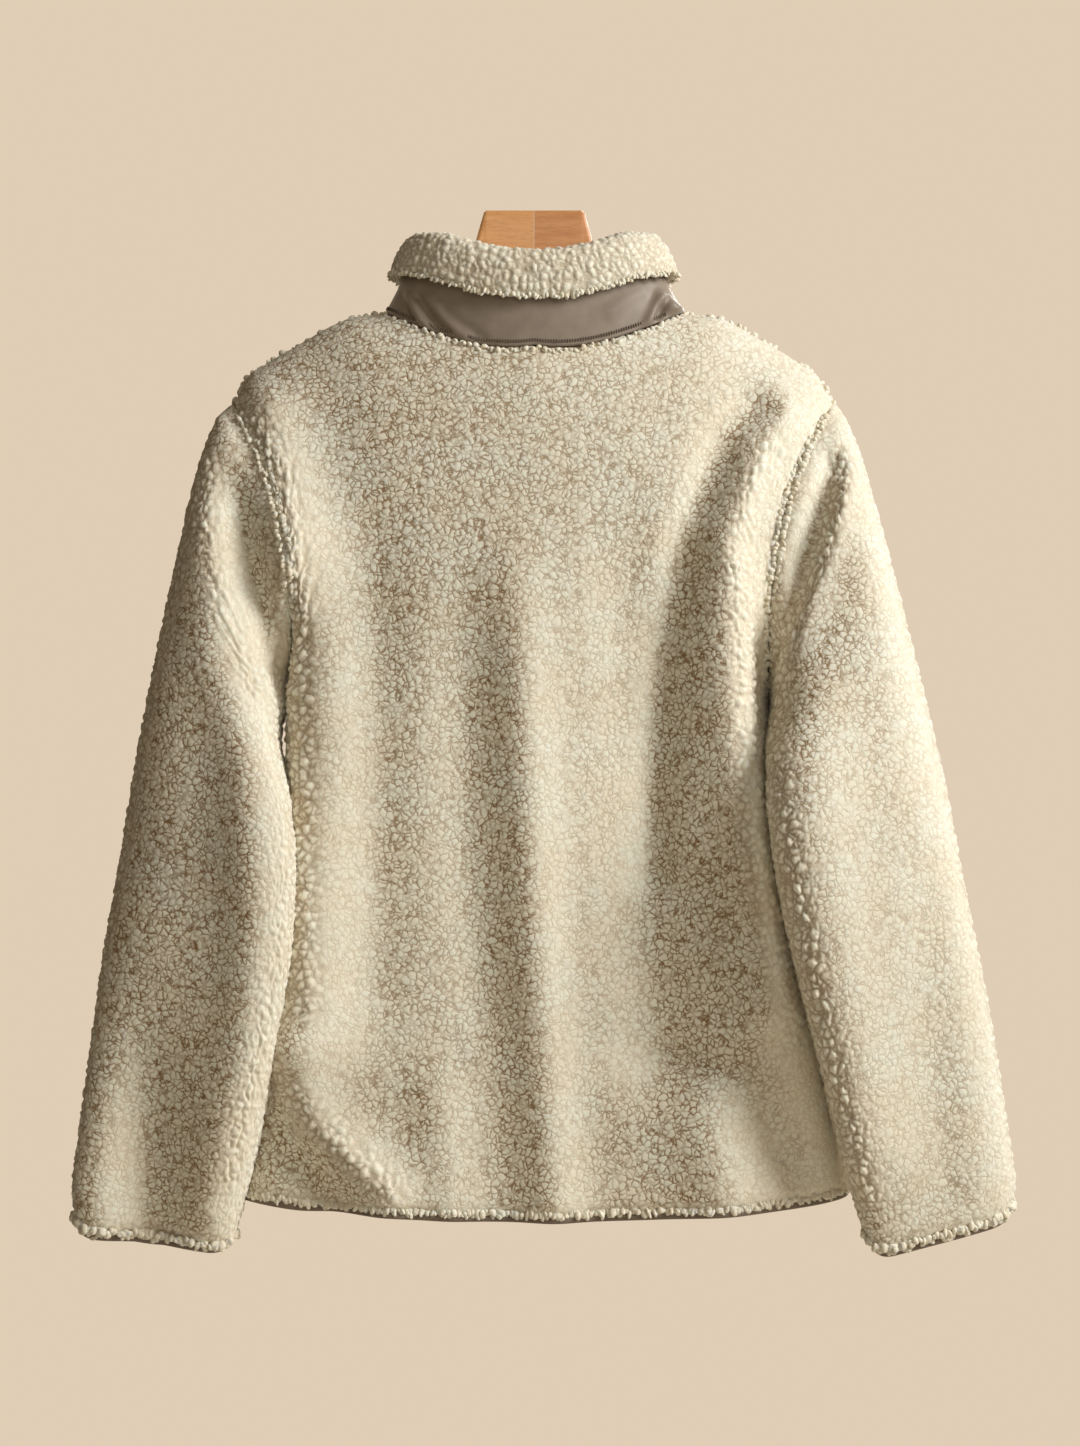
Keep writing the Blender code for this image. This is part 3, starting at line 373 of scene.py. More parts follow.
def fold_height(folds, x, z):
    """The sum of the soft ridges and troughs at points of the hanging cloth."""
    total = np.zeros(np.broadcast(x, z).shape)
    for fold in folds:
        if isinstance(fold, Rope):
            ends = fold.line
        else:
            ends = ((fold.x1, fold.z1), (fold.x2, fold.z2), (fold.x3, fold.z3))
        top = ends[0][1]
        nearest = np.full(total.shape, np.inf)
        for (ax, az), (bx, bz) in zip(ends[:-1], ends[1:]):
            span = (bx - ax) ** 2 + (bz - az) ** 2
            share = np.clip(((x - ax) * (bx - ax) + (z - az) * (bz - az)) / span, 0, 1)
            away = np.hypot(x - ax - share * (bx - ax), z - az - share * (bz - az))
            nearest = np.minimum(nearest, away)
        shown = np.ones_like(total)
        if fold.soft:
            shown = (1 - np.cos(math.pi * np.clip((top - z) / fold.soft, 0, 1))) / 2
        total += fold.height * shown * np.exp(-((nearest / fold.reach) ** 2))
    return total


# ---------------------------------------------------------------- body form


def ridge_height(x):
    """z of the crown line of the shoulders, at a distance from the middle."""
    seam = along(SHOULDER, "x", "z", x)
    return seam + RIDGE_SLOPE * np.clip(NECK_POINT[0] - x, 0, None)


def crown_share(face, x):
    """How far up the crown a column reaches: all the way on the shoulder, less at the neckline."""
    scoop = np.sqrt(np.clip(1 - (x / NECK_POINT[0]) ** 2, 0, 1))
    return 1 - NECK_TURN[face] / 90 * scoop


def body_surface(face, side, share, v):
    """The outer face of the body's cloth, before its folds.

    share runs from the middle (0) to the side seam or armhole (1) on one side. v runs from
    the hem (0) through the underarm (1) to the shoulder seam and neckline (2).
    """
    share, v = np.broadcast_arrays(np.asarray(share, float), np.asarray(v, float))
    middle = FRONT_EDGE if face == FRONT else 0.0
    top_x = middle + (SHOULDER_TIP[0] - middle) * share
    top_z = ridge_height(top_x)
    rise = np.clip(v - 1, 0, 1) * crown_share(face, top_x)
    turn = (1 - np.cos(math.pi * rise)) / 2
    hem_z = HEM_Z + HEM_LIFT * share**2
    crest = np.sin(math.pi / 2 * rise) ** (2 / SHOULDER_ROUNDING)
    up = crest + (turn - crest) * share**3
    z = np.where(
        v < 1,
        hem_z + (UNDERARM_Z - hem_z) * np.clip(v, 0, 1),
        UNDERARM_Z + (top_z - UNDERARM_Z) * up,
    )
    seam_z = UNDERARM_Z + (SHOULDER_TIP[1] - UNDERARM_Z) * turn
    column = "left" if side == LEFT else "right"
    wide = along(TORSO, "z", column, np.minimum(z, UNDERARM_Z))
    join = wide_at_underarm(side) - along(ARMHOLE, "z", "reach", UNDERARM_Z)
    arm = along(ARMHOLE, "z", "reach", seam_z) + join * (1 - turn)
    reach = np.where(v < 1, wide, arm)
    x = side * (middle + (reach - middle) * share)

    deep = along(TORSO, "z", "back" if face == BACK else "front", np.minimum(z, UNDERARM_Z))
    round_over = np.abs(np.cos(math.pi / 2 * rise)) ** (2 / SHOULDER_ROUNDING)
    crown = deep * round_over
    edge = ARMHOLE_DEPTH[face] * np.sin(math.pi * rise)
    opened = np.clip(rise / CHEST_OPENS, 0, 1)
    profile = (1 - share ** (SIDE_POWER[face] + CHEST_POWER * opened)) ** (0.5 + 0.5 * opened)
    profile = profile + (1 - profile) * rise**CROWN_POWER
    return np.stack([x, HANG_PLANE + face * (edge + (crown - edge) * profile), z], -1)


def wide_at_underarm(side):
    return along(TORSO, "z", "left" if side == LEFT else "right", UNDERARM_Z)


def oval(turn, power):
    """Cosine and sine of a turn, squared off towards a box as power rises above 2."""
    c, s = np.cos(turn), np.sin(turn)
    return (
        np.sign(c) * np.abs(c) ** (2 / power),
        np.sign(s) * np.abs(s) ** (2 / power),
    )


def sleeve_ring(side, station, turn):
    """Points of the plain sleeve at stations along its table, turn 0 at the outer point."""
    rows = SLEEVES[side]
    keys = np.arange(len(rows), dtype=float)

    def read(column):
        return smooth(keys, np.array([getattr(row, column) for row in rows]), station)

    power = np.where(np.cos(turn) < 0, SLEEVE_OVAL[-1], SLEEVE_OVAL[1])
    c, s = oval(turn, power)
    half = (read("outer_x") - read("inner_x")) / 2
    x = (read("outer_x") + read("inner_x")) / 2 + half * c
    z = (read("outer_z") + read("inner_z")) / 2 + (read("outer_z") - read("inner_z")) / 2 * c
    y = read("y") - np.where(s > 0, read("back"), read("front")) * s
    low = np.clip((station - CUFF_TWIST_FROM) / CUFF_TWIST_OVER, 0, 1)
    twist = SLEEVE_TWIST[side] + (CUFF_TWIST[side] - SLEEVE_TWIST[side]) * low
    y = y + twist * c * half * np.clip(station / TWIST_OVER, 0, 1)
    return np.stack([side * x, y, z], -1)


# ---------------------------------------------------------------- how finely it is made

NECK_COLUMNS = 52
SIDE_COLUMNS = 76
LOWER_ROWS = 188
UPPER_ROWS = 116
SLEEVE_ROWS = 308
NECK_CROWDING = 1.2  # how much closer together the columns are towards the neck point
BACKING_EVERY = 4  # the plain backing needs only every fourth row and column


def panel_rows():
    """Heights of the rows, from hem (0) through underarm (1) to shoulder (2)."""
    low, high = np.linspace(0, 1, 200), np.linspace(1, 2, 400)
    lower = even_steps(body_surface(BACK, RIGHT, 0.4, low), low, LOWER_ROWS)
    upper = even_steps(body_surface(BACK, RIGHT, 0.6, high), high, UPPER_ROWS)
    return np.concatenate([lower, upper[1:]])


def panel_shares(face):
    """Where the columns lie, from the middle of a panel to its side."""
    middle = FRONT_EDGE if face == FRONT else 0.0
    step = np.linspace(0, 1, NECK_COLUMNS + 1)
    inner = middle + (NECK_POINT[0] - middle) * (1 - (1 - step) ** NECK_CROWDING)
    share = (inner - middle) / (SHOULDER_TIP[0] - middle)
    outer = np.linspace(share[-1], 1, 300)
    outer = even_steps(body_surface(face, RIGHT, outer, 0.9), outer, SIDE_COLUMNS)
    return np.concatenate([share, outer[1:]])


def half_panel(face, side):
    """Points and outward normals of half a back, or of one front, with its folds."""
    share, v = np.meshgrid(panel_shares(face), panel_rows())
    grid = body_surface(face, side, share, v)
    outward = np.stack([side * share**3, np.full_like(share, face), np.zeros_like(share)], -1)
    bare = normals_of(grid, outward)
    folds = BACK_FOLDS if face == BACK else FRONT_FOLDS
    rise = np.clip(v - 1, 0, 1)
    lifted = np.clip((rise - ARMHOLE_LIFT_FROM) / ARMHOLE_LIFT_OVER, 0, 1)
    lifted = ARMHOLE_LIFT * np.sin(math.pi * rise) * lifted
    held = share**FOLD_SIDE_POWER * (1 - (lifted if face == BACK else 0))
    fade = (1 - held) * (1 - np.clip(v - FOLD_TOP_FROM, 0, 1) ** 2)
    if face == FRONT:
        fade = fade * np.clip(share / ZIP_FLAT, 0, 1) ** 2
    height = fade * fold_height(folds, grid[..., 0], grid[..., 2])
    ropes = BACK_ROPES if face == BACK else ()
    rope = fold_height(ropes, grid[..., 0], grid[..., 2])
    grid = grid + bare * (height + rope)[..., None]
    return grid, normals_of(grid, outward), rope


def edge_distance(grid, axis, end):
    """How far each point lies from one edge of its grid, along the cloth."""
    steps = np.linalg.norm(np.diff(grid, axis=axis), axis=-1)
    pad = [(0, 0), (0, 0)]
    pad[axis] = (1, 0)
    length = np.cumsum(np.pad(steps, pad), axis=axis)
    return length if end == 0 else np.take(length, [-1], axis=axis) - length


def round_edges(grid, normal, edges):
    """Turns the pile in towards the edges. Each edge is axis, end, radius and depth."""
    sunk = np.zeros(grid.shape[:2])
    near = np.ones(grid.shape[:2])
    for axis, end, radius, depth in edges:
        away = np.clip(edge_distance(grid, axis, end) / radius, 0, 1)
        sunk = np.maximum(sunk, depth * (1 - np.sqrt(1 - (1 - away) ** 2)))
        near = np.minimum(near, away)
    return grid - normal * sunk[..., None], near


# ---------------------------------------------------------------- meshes


def shell(name, outer, inner, nap, pile=None, wrap=False, every=BACKING_EVERY):
    """A closed cloth: a fine outer face, a coarser backing, and rims that join the two.

    The outer points keep their place before the curls as "rest", the height and direction
    in which the curls may stand as "nap", and their look as "pile".
    """
    rows, columns = outer.shape[:2]
    fine = np.arange(rows * columns).reshape(rows, columns)
    low_rows = np.arange(0, rows, every)
    low_columns = np.arange(0, columns, every)
    backing = inner[np.ix_(low_rows, low_columns)]
    coarse = rows * columns + np.arange(len(low_rows) * len(low_columns))
    coarse = coarse.reshape(len(low_rows), len(low_columns))

    def quads(index):
        right = np.roll(index, -1, axis=1) if wrap else index[:, 1:]
        left = index if wrap else index[:, :-1]
        return np.stack([left[:-1], right[:-1], right[1:], left[1:]], -1).reshape(-1, 4)

    faces = quads(fine).tolist() + quads(coarse)[:, ::-1].tolist()

    def rim(fine_line, coarse_line):
        for k in range(len(coarse_line) - 1):
            run = fine_line[k * every : k * every + every + 1]
            faces.append([*run, coarse_line[k + 1], coarse_line[k]])

    for end in (0, -1):
        fine_line, coarse_line = fine[end], coarse[end]
        if wrap:
            fine_line = np.append(fine_line, fine_line[0])
            coarse_line = np.append(coarse_line, coarse_line[0])
        rim(fine_line.tolist(), coarse_line.tolist())
        if not wrap:
            rim(fine[:, end].tolist(), coarse[:, end].tolist())
    points = np.concatenate([outer.reshape(-1, 3), backing.reshape(-1, 3)])
    made = new_mesh(name, points, faces)
    lifted, look = np.zeros_like(points), np.zeros_like(points)
    lifted[: rows * columns] = nap.reshape(-1, 3)
    if pile is not None:
        look[: rows * columns] = pile.reshape(-1, 3)
    give(made, rest=points, nap=lifted, pile=look)
    return made


def shown(name, mesh):
    """An object in the scene with a mesh of its own."""
    made = bpy.data.objects.new(name, mesh)
    bpy.context.scene.collection.objects.link(made)
    return made


def mesh_of(name, bm):
    """A bmesh as a mesh of its own."""
    mesh = bpy.data.meshes.new(name)
    bm.to_mesh(mesh)
    bm.free()
    return mesh


def give(made, **vectors):
    """Stores vectors with a mesh's points, each under its own name."""
    for key, values in vectors.items():
        layer = made.data.attributes.get(key)
        if layer is None:
            layer = made.data.attributes.new(key, "FLOAT_VECTOR", "POINT")
        layer.data.foreach_set("vector", np.ascontiguousarray(values, float).ravel())


def new_mesh(name, points, faces):
    """A closed mesh with its faces turned outwards."""
    mesh = bpy.data.meshes.new(name)
    mesh.from_pydata(np.asarray(points).tolist(), [], faces)
    bm = bmesh.new()
    bm.from_mesh(mesh)
    bmesh.ops.recalc_face_normals(bm, faces=bm.faces)
    if bm.calc_volume(signed=True) < 0:
        bmesh.ops.reverse_faces(bm, faces=bm.faces)
    bm.to_mesh(mesh)
    bm.free()
    mesh.shade_smooth()
    return shown(name, mesh)


def loft(name, rings, closed=False):
    """A closed solid through rings of points: a bar with two caps, or a ring without an end."""
    rings = np.asarray(rings)
    count, around = rings.shape[:2]
    index = np.arange(count * around).reshape(count, around)
    follow = np.roll(index, -1, axis=0) if closed else index[1:]
    start = index if closed else index[:-1]
    turned, start_turned = np.roll(follow, -1, axis=1), np.roll(start, -1, axis=1)
    faces = np.stack([start, start_turned, turned, follow], -1).reshape(-1, 4).tolist()
    if not closed:
        faces += [index[0].tolist(), index[-1].tolist()]
    return new_mesh(name, rings.reshape(-1, 3), faces)


# ---------------------------------------------------------------- nodes


def wire(tree, node, links):
    """Gives a node's inputs values or other nodes' outputs."""
    for key, value in links.items():
        if isinstance(value, bpy.types.NodeSocket):
            tree.links.new(value, node.inputs[key])
        else:
            node.inputs[key].default_value = value


def add(tree, kind, links=None, **settings):
    """Adds a node with its settings and its inputs."""
    node = tree.nodes.new(kind)
    for key, value in settings.items():
        setattr(node, key, value)
    wire(tree, node, links or {})
    return node


def maths(tree, operation, *values):
    """The result of one step of arithmetic on numbers or outputs."""
    return add(tree, "ShaderNodeMath", dict(enumerate(values)), operation=operation).outputs[0]


def vectors(tree, operation, first, second):
    """The result of one step on two vectors, or on a vector and its scale."""
    links = {0: first, "Scale" if operation == "SCALE" else 1: second}
    return add(tree, "ShaderNodeVectorMath", links, operation=operation).outputs[0]


def between(tree, value, low, high, start=0.0, end=1.0):
    """A value brought from between two bounds to between two others, and never past them."""
    links = {"Value": value, "From Min": low, "From Max": high, "To Min": start, "To Max": end}
    return add(tree, "ShaderNodeMapRange", links).outputs[0]


def noise(tree, place, scale, detail, rough=0.5):
    """A noise texture with this many patches in a metre."""
    links = {"Vector": place, "Scale": scale, "Detail": detail, "Roughness": rough}
    return add(tree, "ShaderNodeTexNoise", links)


def carried(tree, name):
    """A vector that the points of a geometry tree's mesh carry."""
    kind = "GeometryNodeInputNamedAttribute"
    return add(tree, kind, {"Name": name}, data_type="FLOAT_VECTOR").outputs[0]


def blend(tree, factor, first, second):
    """A colour between two, by a factor from 0 to 1."""
    links = {0: factor, 6: first, 7: second}
    return add(tree, "ShaderNodeMix", links, data_type="RGBA").outputs[2]


def linear(text):
    """An sRGB hex colour as linear red, green, blue and alpha."""
    parts = [int(text[i : i + 2], 16) / 255 for i in (0, 2, 4)]
    turned = [p / 12.92 if p <= 0.04045 else ((p + 0.055) / 1.055) ** 2.4 for p in parts]
    return (*turned, 1.0)


# ---------------------------------------------------------------- the curls of the pile

# A size of curl, with the shares of it over which its painted crevice shade and its dome reach
# from its edge
Curl = namedtuple("Curl", "size crevice dome")
FLAT_CURL = Curl(0.0048, 0.22, 0.42)
BEAD_CURL = Curl(0.0072, 0.30, 0.50)  # the rounder curls that stand up on the narrow folds
STEEPNESS = {"crevice": 1.5, "dome": 2.2}
# The curls drift out of line over a distance, and their crevices wind over a shorter one
Drift = namedtuple("Drift", "over reach detail rough")
DRIFTS = (Drift(0.016, 0.0042, 2.0, 0.6), Drift(0.0034, 0.0016, 1.0, 0.5))
MERGE = 0.0062  # neighbouring curls run together in places this far apart
MERGE_RANGE = (0.38, 0.56)
MERGE_LEAST = 0.45  # what is left of a crevice where they do
CURL_MEAN = 0.82  # the pattern's usual height, which stays on the cut piece's own surface
CURL_HEIGHT = 0.0037


def curl_pattern(tree, rest, pile):
    """Height of the pile, 0 in the crevices and 1 on a curl's top, and how much painted shade its
    crevice gets.

    The same nodes serve the geometry and the material, so that both show the same curls.
    "pile" holds how much painted shade the crevices get and how far the curls are rounded into
    beads.
    """
    moved = rest
    for drift in DRIFTS:
        wander = noise(tree, rest, 1 / drift.over, drift.detail, drift.rough).outputs["Color"]
        centred = vectors(tree, "SUBTRACT", wander, (0.5, 0.5, 0.5))
        moved = vectors(tree, "ADD", moved, vectors(tree, "SCALE", centred, 2 * drift.reach))
    merged = noise(tree, rest, 1 / MERGE, 1.0).outputs["Fac"]
    apart = between(tree, merged, *MERGE_RANGE, MERGE_LEAST)
    share = add(tree, "ShaderNodeSeparateXYZ", {0: pile})
    falls = {kind: [] for kind in STEEPNESS}
    for curl in (FLAT_CURL, BEAD_CURL):
        links = {"Vector": moved, "Scale": 1 / curl.size}
        cells = add(tree, "ShaderNodeTexVoronoi", links, feature="DISTANCE_TO_EDGE")
        for kind, steepness in STEEPNESS.items():
            fall = between(tree, cells.outputs["Distance"], 0.0, getattr(curl, kind), 1.0, 0.0)
            falls[kind].append(maths(tree, "POWER", fall, steepness))
    mixed = {}
    for kind, (flat, bead) in falls.items():
        links = {0: share.outputs["Y"], 2: maths(tree, "MULTIPLY", flat, apart), 3: bead}
        mixed[kind] = add(tree, "ShaderNodeMix", links, data_type="FLOAT").outputs[0]
    height = maths(tree, "SUBTRACT", 1.0, mixed["dome"])
    # the second output is how much painted crevice shade a point gets
    return height, maths(tree, "MULTIPLY", mixed["crevice"], share.outputs["X"])


# ---------------------------------------------------------------- geometry trees


def new_tree(name, inputs):
    """A geometry tree with its named inputs, and the nodes that begin and end it."""
    tree = bpy.data.node_groups.new(name, "GeometryNodeTree")
    tree.interface.new_socket("Geometry", in_out="INPUT", socket_type="NodeSocketGeometry")
    for key, kind in inputs.items():
        tree.interface.new_socket(key, in_out="INPUT", socket_type=kind)
    tree.interface.new_socket("Geometry", in_out="OUTPUT", socket_type="NodeSocketGeometry")
    return tree, tree.nodes.new("NodeGroupInput"), tree.nodes.new("NodeGroupOutput")


def grow(made, tree, **values):
    """Runs a geometry tree on an object and keeps the result as its plain mesh."""
    step = made.modifiers.new(tree.name, "NODES")
    step.node_group = tree
    for item in tree.interface.items_tree:
        if item.in_out == "INPUT" and item.name.lower() in values:
            step[item.identifier] = values[item.name.lower()]
    graph = bpy.context.evaluated_depsgraph_get()
    mesh = bpy.data.meshes.new_from_object(
        made.evaluated_get(graph), preserve_all_data_layers=True, depsgraph=graph
    )
    made.modifiers.clear()
    made.data = mesh
    mesh.name = made.name


def curl_tree():
    """Raises the curls of the pile along each point's nap."""
    tree, start, end = new_tree("raise_curls", {"Height": "NodeSocketFloat"})
    rest, nap, pile = (carried(tree, name) for name in ("rest", "nap", "pile"))
    height, _ = curl_pattern(tree, rest, pile)
    level = maths(tree, "ADD", height, -CURL_MEAN)
    lift = maths(tree, "MULTIPLY", level, start.outputs["Height"])
    links = {"Geometry": start.outputs["Geometry"], "Offset": vectors(tree, "SCALE", nap, lift)}
    moved = add(tree, "GeometryNodeSetPosition", links)
    tree.links.new(moved.outputs[0], end.inputs[0])
    return tree


def line_tree(name, kind, shape):
    """Sets copies of a small shape along a line: stitches, zip teeth or locks of pile.

    The line's points carry "along" and "away", the directions in which a copy's X and Z turn.
    """
    inputs = {
        "Spacing": "NodeSocketFloat",
        "Size": "NodeSocketVector",
        "Jitter": "NodeSocketVector",
        "Lean": "NodeSocketFloat",
        "Vary": "NodeSocketFloat",
        "Seed": "NodeSocketInt",
        "Material": "NodeSocketMaterial",
    }
    tree, start, end = new_tree(name, inputs)
    asked = start.outputs

    def scattered(step):
        """Random vectors between -1 and 1, unlike those of another step."""
        seed = maths(tree, "ADD", asked["Seed"], step)
        links = {"Min": (-1.0, -1.0, -1.0), "Max": (1.0, 1.0, 1.0), "Seed": seed}
        return add(tree, "FunctionNodeRandomValue", links, data_type="FLOAT_VECTOR").outputs[0]

    line = add(tree, "GeometryNodeMeshToCurve", {"Mesh": asked["Geometry"]}).outputs[0]
    links = {"Curve": line, "Length": asked["Spacing"]}
    dotted = add(tree, "GeometryNodeResampleCurve", links, mode="LENGTH").outputs[0]
    points = add(tree, "GeometryNodeCurveToPoints", {"Curve": dotted}, mode="EVALUATED").outputs[0]
    strayed = vectors(tree, "MULTIPLY", scattered(13.0), asked["Jitter"])
    links = {"Geometry": points, "Offset": strayed}
    placed = add(tree, "GeometryNodeSetPosition", links).outputs[0]

    links = {"Primary Axis": carried(tree, "away"), "Secondary Axis": carried(tree, "along")}
    axes = {"primary_axis": "Z", "secondary_axis": "X"}
    turned = add(tree, "FunctionNodeAxesToRotation", links, **axes).outputs[0]
    tilt = vectors(tree, "SCALE", scattered(0.0), asked["Lean"])
    links = {"Rotation": turned, "Rotate By": tilt}
    leaned = add(tree, "FunctionNodeRotateRotation", links, rotation_space="LOCAL").outputs[0]

    change = vectors(tree, "SCALE", scattered(7.0), asked["Vary"])
    factor = vectors(tree, "ADD", change, (1.0, 1.0, 1.0))
    scale = vectors(tree, "MULTIPLY", factor, asked["Size"])

    copy = add(tree, kind, shape).outputs["Mesh"]
    links = {"Points": placed, "Instance": copy, "Rotation": leaned, "Scale": scale}
    copies = add(tree, "GeometryNodeInstanceOnPoints", links).outputs[0]
    real = add(tree, "GeometryNodeRealizeInstances", {"Geometry": copies}).outputs[0]
    smoothed = add(tree, "GeometryNodeSetShadeSmooth", {"Geometry": real}).outputs[0]
    links = {"Geometry": smoothed, "Material": asked["Material"]}
    painted = add(tree, "GeometryNodeSetMaterial", links)
    tree.links.new(painted.outputs[0], end.inputs[0])
    return tree


def line_of(name, points, along, away):
    """A line of points that carries its directions, for a line tree to grow on."""
    mesh = bpy.data.meshes.new(name)
    edges = [(i, i + 1) for i in range(len(points) - 1)]
    mesh.from_pydata(np.asarray(points).tolist(), edges, [])
    made = shown(name, mesh)
    give(made, along=along, away=away)
    return made


# ---------------------------------------------------------------- materials

PILE_TIP = "f3f3e5"
PILE_TIP_WARM = "f0ebd9"
PILE_SHADE = "e6dcc6"
SHADE_SHARE = 0.22
PILE_DEEP_SHADE = "dcbd88"  # painted shade: light warmed on its way down between the curls, painted into their low parts
DEEP_SHADE_SHARE = 0.20
# painted shade: the dark brown of the crevices between the curls
PILE_CREVICE_SHADE = "86602a"
PILE_RIM = "fff8ea"  # the glow of loose fibres seen edge on
PILE_BUMP = 0.24
PILE_BUMP_DEPTH = 0.0016
PILE_GLOW = 0.0022  # how far light spreads among the loose fibres
PILE_GLOW_TINT = (1.0, 0.85, 0.68)  # and how unevenly in red, green and blue
DYE_PATCHES = 26.0  # patches of warmer and cooler pile in a metre
FIBRE_CLUMP = 0.0016  # fibres are finer than this; their clumps are what shows
THREAD_SLUBS = 60.0  # uneven places of a woven cloth in a metre
BRASS_WEAR = 420.0  # worn spots in a metre
WOOD_GRAIN = 34.0  # streaks in a metre along the block
WOOD_FLECKS = 160.0
GRAIN_FINER = 9.0  # and how much closer they lie across it
WAVE_BAND = 0.31416  # the spacing of a wave texture's bands at scale 1


def new_material(name):
    made = bpy.data.materials.new(name)
    made.use_nodes = True
    return made, made.node_tree, made.node_tree.nodes["Principled BSDF"]


def bumped(tree, height, strength, distance):
    links = {"Height": height, "Strength": strength, "Distance": distance}
    return add(tree, "ShaderNodeBump", links).outputs[0]


def object_place(tree):
    """Where a point lies, in metres, in its piece's own frame."""
    return add(tree, "ShaderNodeTexCoord").outputs["Object"]


def fleece_pile():
    """Curled polyester sherpa: matt cream locks with painted warm shade low between the curls and
    painted dark shade in their crevices, and a soft nap at the rim.
    """
    made, tree, shader = new_material("sherpa_fleece_pile")
    rest, pile = (
        add(tree, "ShaderNodeAttribute", attribute_name=name).outputs["Vector"]
        for name in ("rest", "pile")
    )
    height, deep = curl_pattern(tree, rest, pile)
    dyed = noise(tree, rest, DYE_PATCHES, 2.0).outputs["Fac"]
    tips = blend(tree, between(tree, dyed, 0.35, 0.65), linear(PILE_TIP_WARM), linear(PILE_TIP))
    fibre = noise(tree, rest, 1 / FIBRE_CLUMP, 2.0).outputs["Fac"]
    specks = between(tree, fibre, 0.3, 0.7, 0.0, SHADE_SHARE)
    strands = blend(tree, specks, tips, linear(PILE_SHADE))
    # painted shade: the lower a point of a curl, the more of the warm deep shade it is painted
    # with
    sunk = maths(tree, "MULTIPLY", maths(tree, "SUBTRACT", 1.0, height), DEEP_SHADE_SHARE)
    strands = blend(tree, sunk, strands, linear(PILE_DEEP_SHADE))
    relief = maths(tree, "MULTIPLY_ADD", fibre, 0.3, height)
    looks = {
        # painted shade: the crevices painted dark brown, more on slopes that face away from the
        # key lamp
        "Base Color": blend(tree, deep, strands, linear(PILE_CREVICE_SHADE)),
        "Normal": bumped(tree, relief, PILE_BUMP, PILE_BUMP_DEPTH),
        "Roughness": 0.95,
        "Specular IOR Level": 0.1,
        "Subsurface Weight": 0.5,
        "Subsurface Radius": PILE_GLOW_TINT,
        "Subsurface Scale": PILE_GLOW,
        "Sheen Weight": 0.35,
        "Sheen Roughness": 0.5,
        "Sheen Tint": linear(PILE_RIM),
    }
    wire(tree, shader, looks)
    return made


def ribbed(name, first, second, size, across, bump, rough, sheen):
    """A plain woven cloth: two thread directions, each a wave of its own spacing."""
    made, tree, shader = new_material(name)
    place = object_place(tree)
    waves = []
    for axis, spacing in (("Z", size), ("X", across)):
        links = {"Vector": place, "Scale": WAVE_BAND / spacing, "Distortion": 0.6}
        wave = add(tree, "ShaderNodeTexWave", links, bands_direction=axis)
        waves.append(wave.outputs["Fac"])
    weave = maths(tree, "MULTIPLY", *waves)
    slubs = noise(tree, place, THREAD_SLUBS, 3.0).outputs["Fac"]
    grade = between(tree, maths(tree, "MULTIPLY_ADD", weave, 0.35, slubs), 0.35, 0.85)
    looks = {
        "Base Color": blend(tree, grade, linear(first), linear(second)),
        "Normal": bumped(tree, weave, bump, size / 3),
        "Roughness": rough,
        "Sheen Weight": sheen,
    }
    wire(tree, shader, looks)
    return made


def zip_brass():
    """Antiqued brass: darker and worn brighter in spots strewn at random."""
    made, tree, shader = new_material("antiqued_brass")
    worn = noise(tree, object_place(tree), BRASS_WEAR, 4.0).outputs["Fac"]
    looks = {
        "Base Color": blend(tree, worn, linear("5a4a38"), linear("9a8260")),
        "Roughness": between(tree, worn, 0.0, 1.0, 0.5, 0.28),
        "Metallic": 1.0,
    }
    wire(tree, shader, looks)
    return made


def beech(name, pale, dark, turn):
    """Planed and oiled beech: straight fine grain with short darker flecks, a soft low gloss."""
    made, tree, shader = new_material(name)
    links = {
        "Vector": object_place(tree),
        "Rotation": (0.0, turn, 0.0),
        "Scale": (1.0, 1.0, GRAIN_FINER),
    }
    turned = add(tree, "ShaderNodeMapping", links).outputs[0]
    grain = noise(tree, turned, WOOD_GRAIN, 5.0, 0.6).outputs["Fac"]
    fleck = noise(tree, turned, WOOD_FLECKS, 2.0).outputs["Fac"]
    spots = between(tree, fleck, 0.55, 0.72, 0.0, 0.35)
    colour = blend(tree, between(tree, grain, 0.3, 0.72), linear(pale), linear(dark))
    looks = {
        "Base Color": blend(tree, spots, colour, linear("8a5a33")),
        "Normal": bumped(tree, grain, 0.12, 0.0006),
        "Roughness": 0.42,
        "Coat Weight": 0.15,
        "Coat Roughness": 0.35,
    }
    wire(tree, shader, looks)
    return made


# ---------------------------------------------------------------- pieces


def keep(made, slot, *nodes, body="jacket", paint=None):
    """Paints a finished piece, hides the cut parts that it takes the place of, and hangs it on the
    body that it rides on.
    """
    if paint:
        made.data.materials.append(paint)
    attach(made, body)
    if nodes:
        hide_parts(*nodes)


CREVICE_SHADE_MEAN = 0.76  # how much painted shade the crevices get where the cloth faces straight back or ahead
CREVICE_SHADE_LEAN = 1.9  # and how much a slope towards or away from the key lamp changes that
CREVICE_SHADE_LEAST = 0.20
BEAD_FULL = 0.0012  # a narrow fold this high is all beads
BEAD_PALE = 0.45  # beads take away this share of the painted crevice shade
TURNED_FROM = 0.62  # cloth that turns this far to the side starts to show beads
TURNED_OVER = 0.25
TURNED_BEADS = 0.8
EDGE_BEADS = 0.85
LOW_SHARE = 0.15  # flat pile stands at this share of the beads' height
SEAM_EDGE = (0.003, 0.0005)  # radius and depth to which the pile rounds off at a seam
HEM_EDGE = (0.008, 0.0030)
CUFF_EDGE = (0.013, 0.0042)
PANEL_EDGES = ((0, 0, *HEM_EDGE), (0, -1, *SEAM_EDGE), (1, 0, *SEAM_EDGE), (1, -1, *SEAM_EDGE))
SLEEVE_EDGES = ((0, 0, *SEAM_EDGE), (0, -1, *CUFF_EDGE))


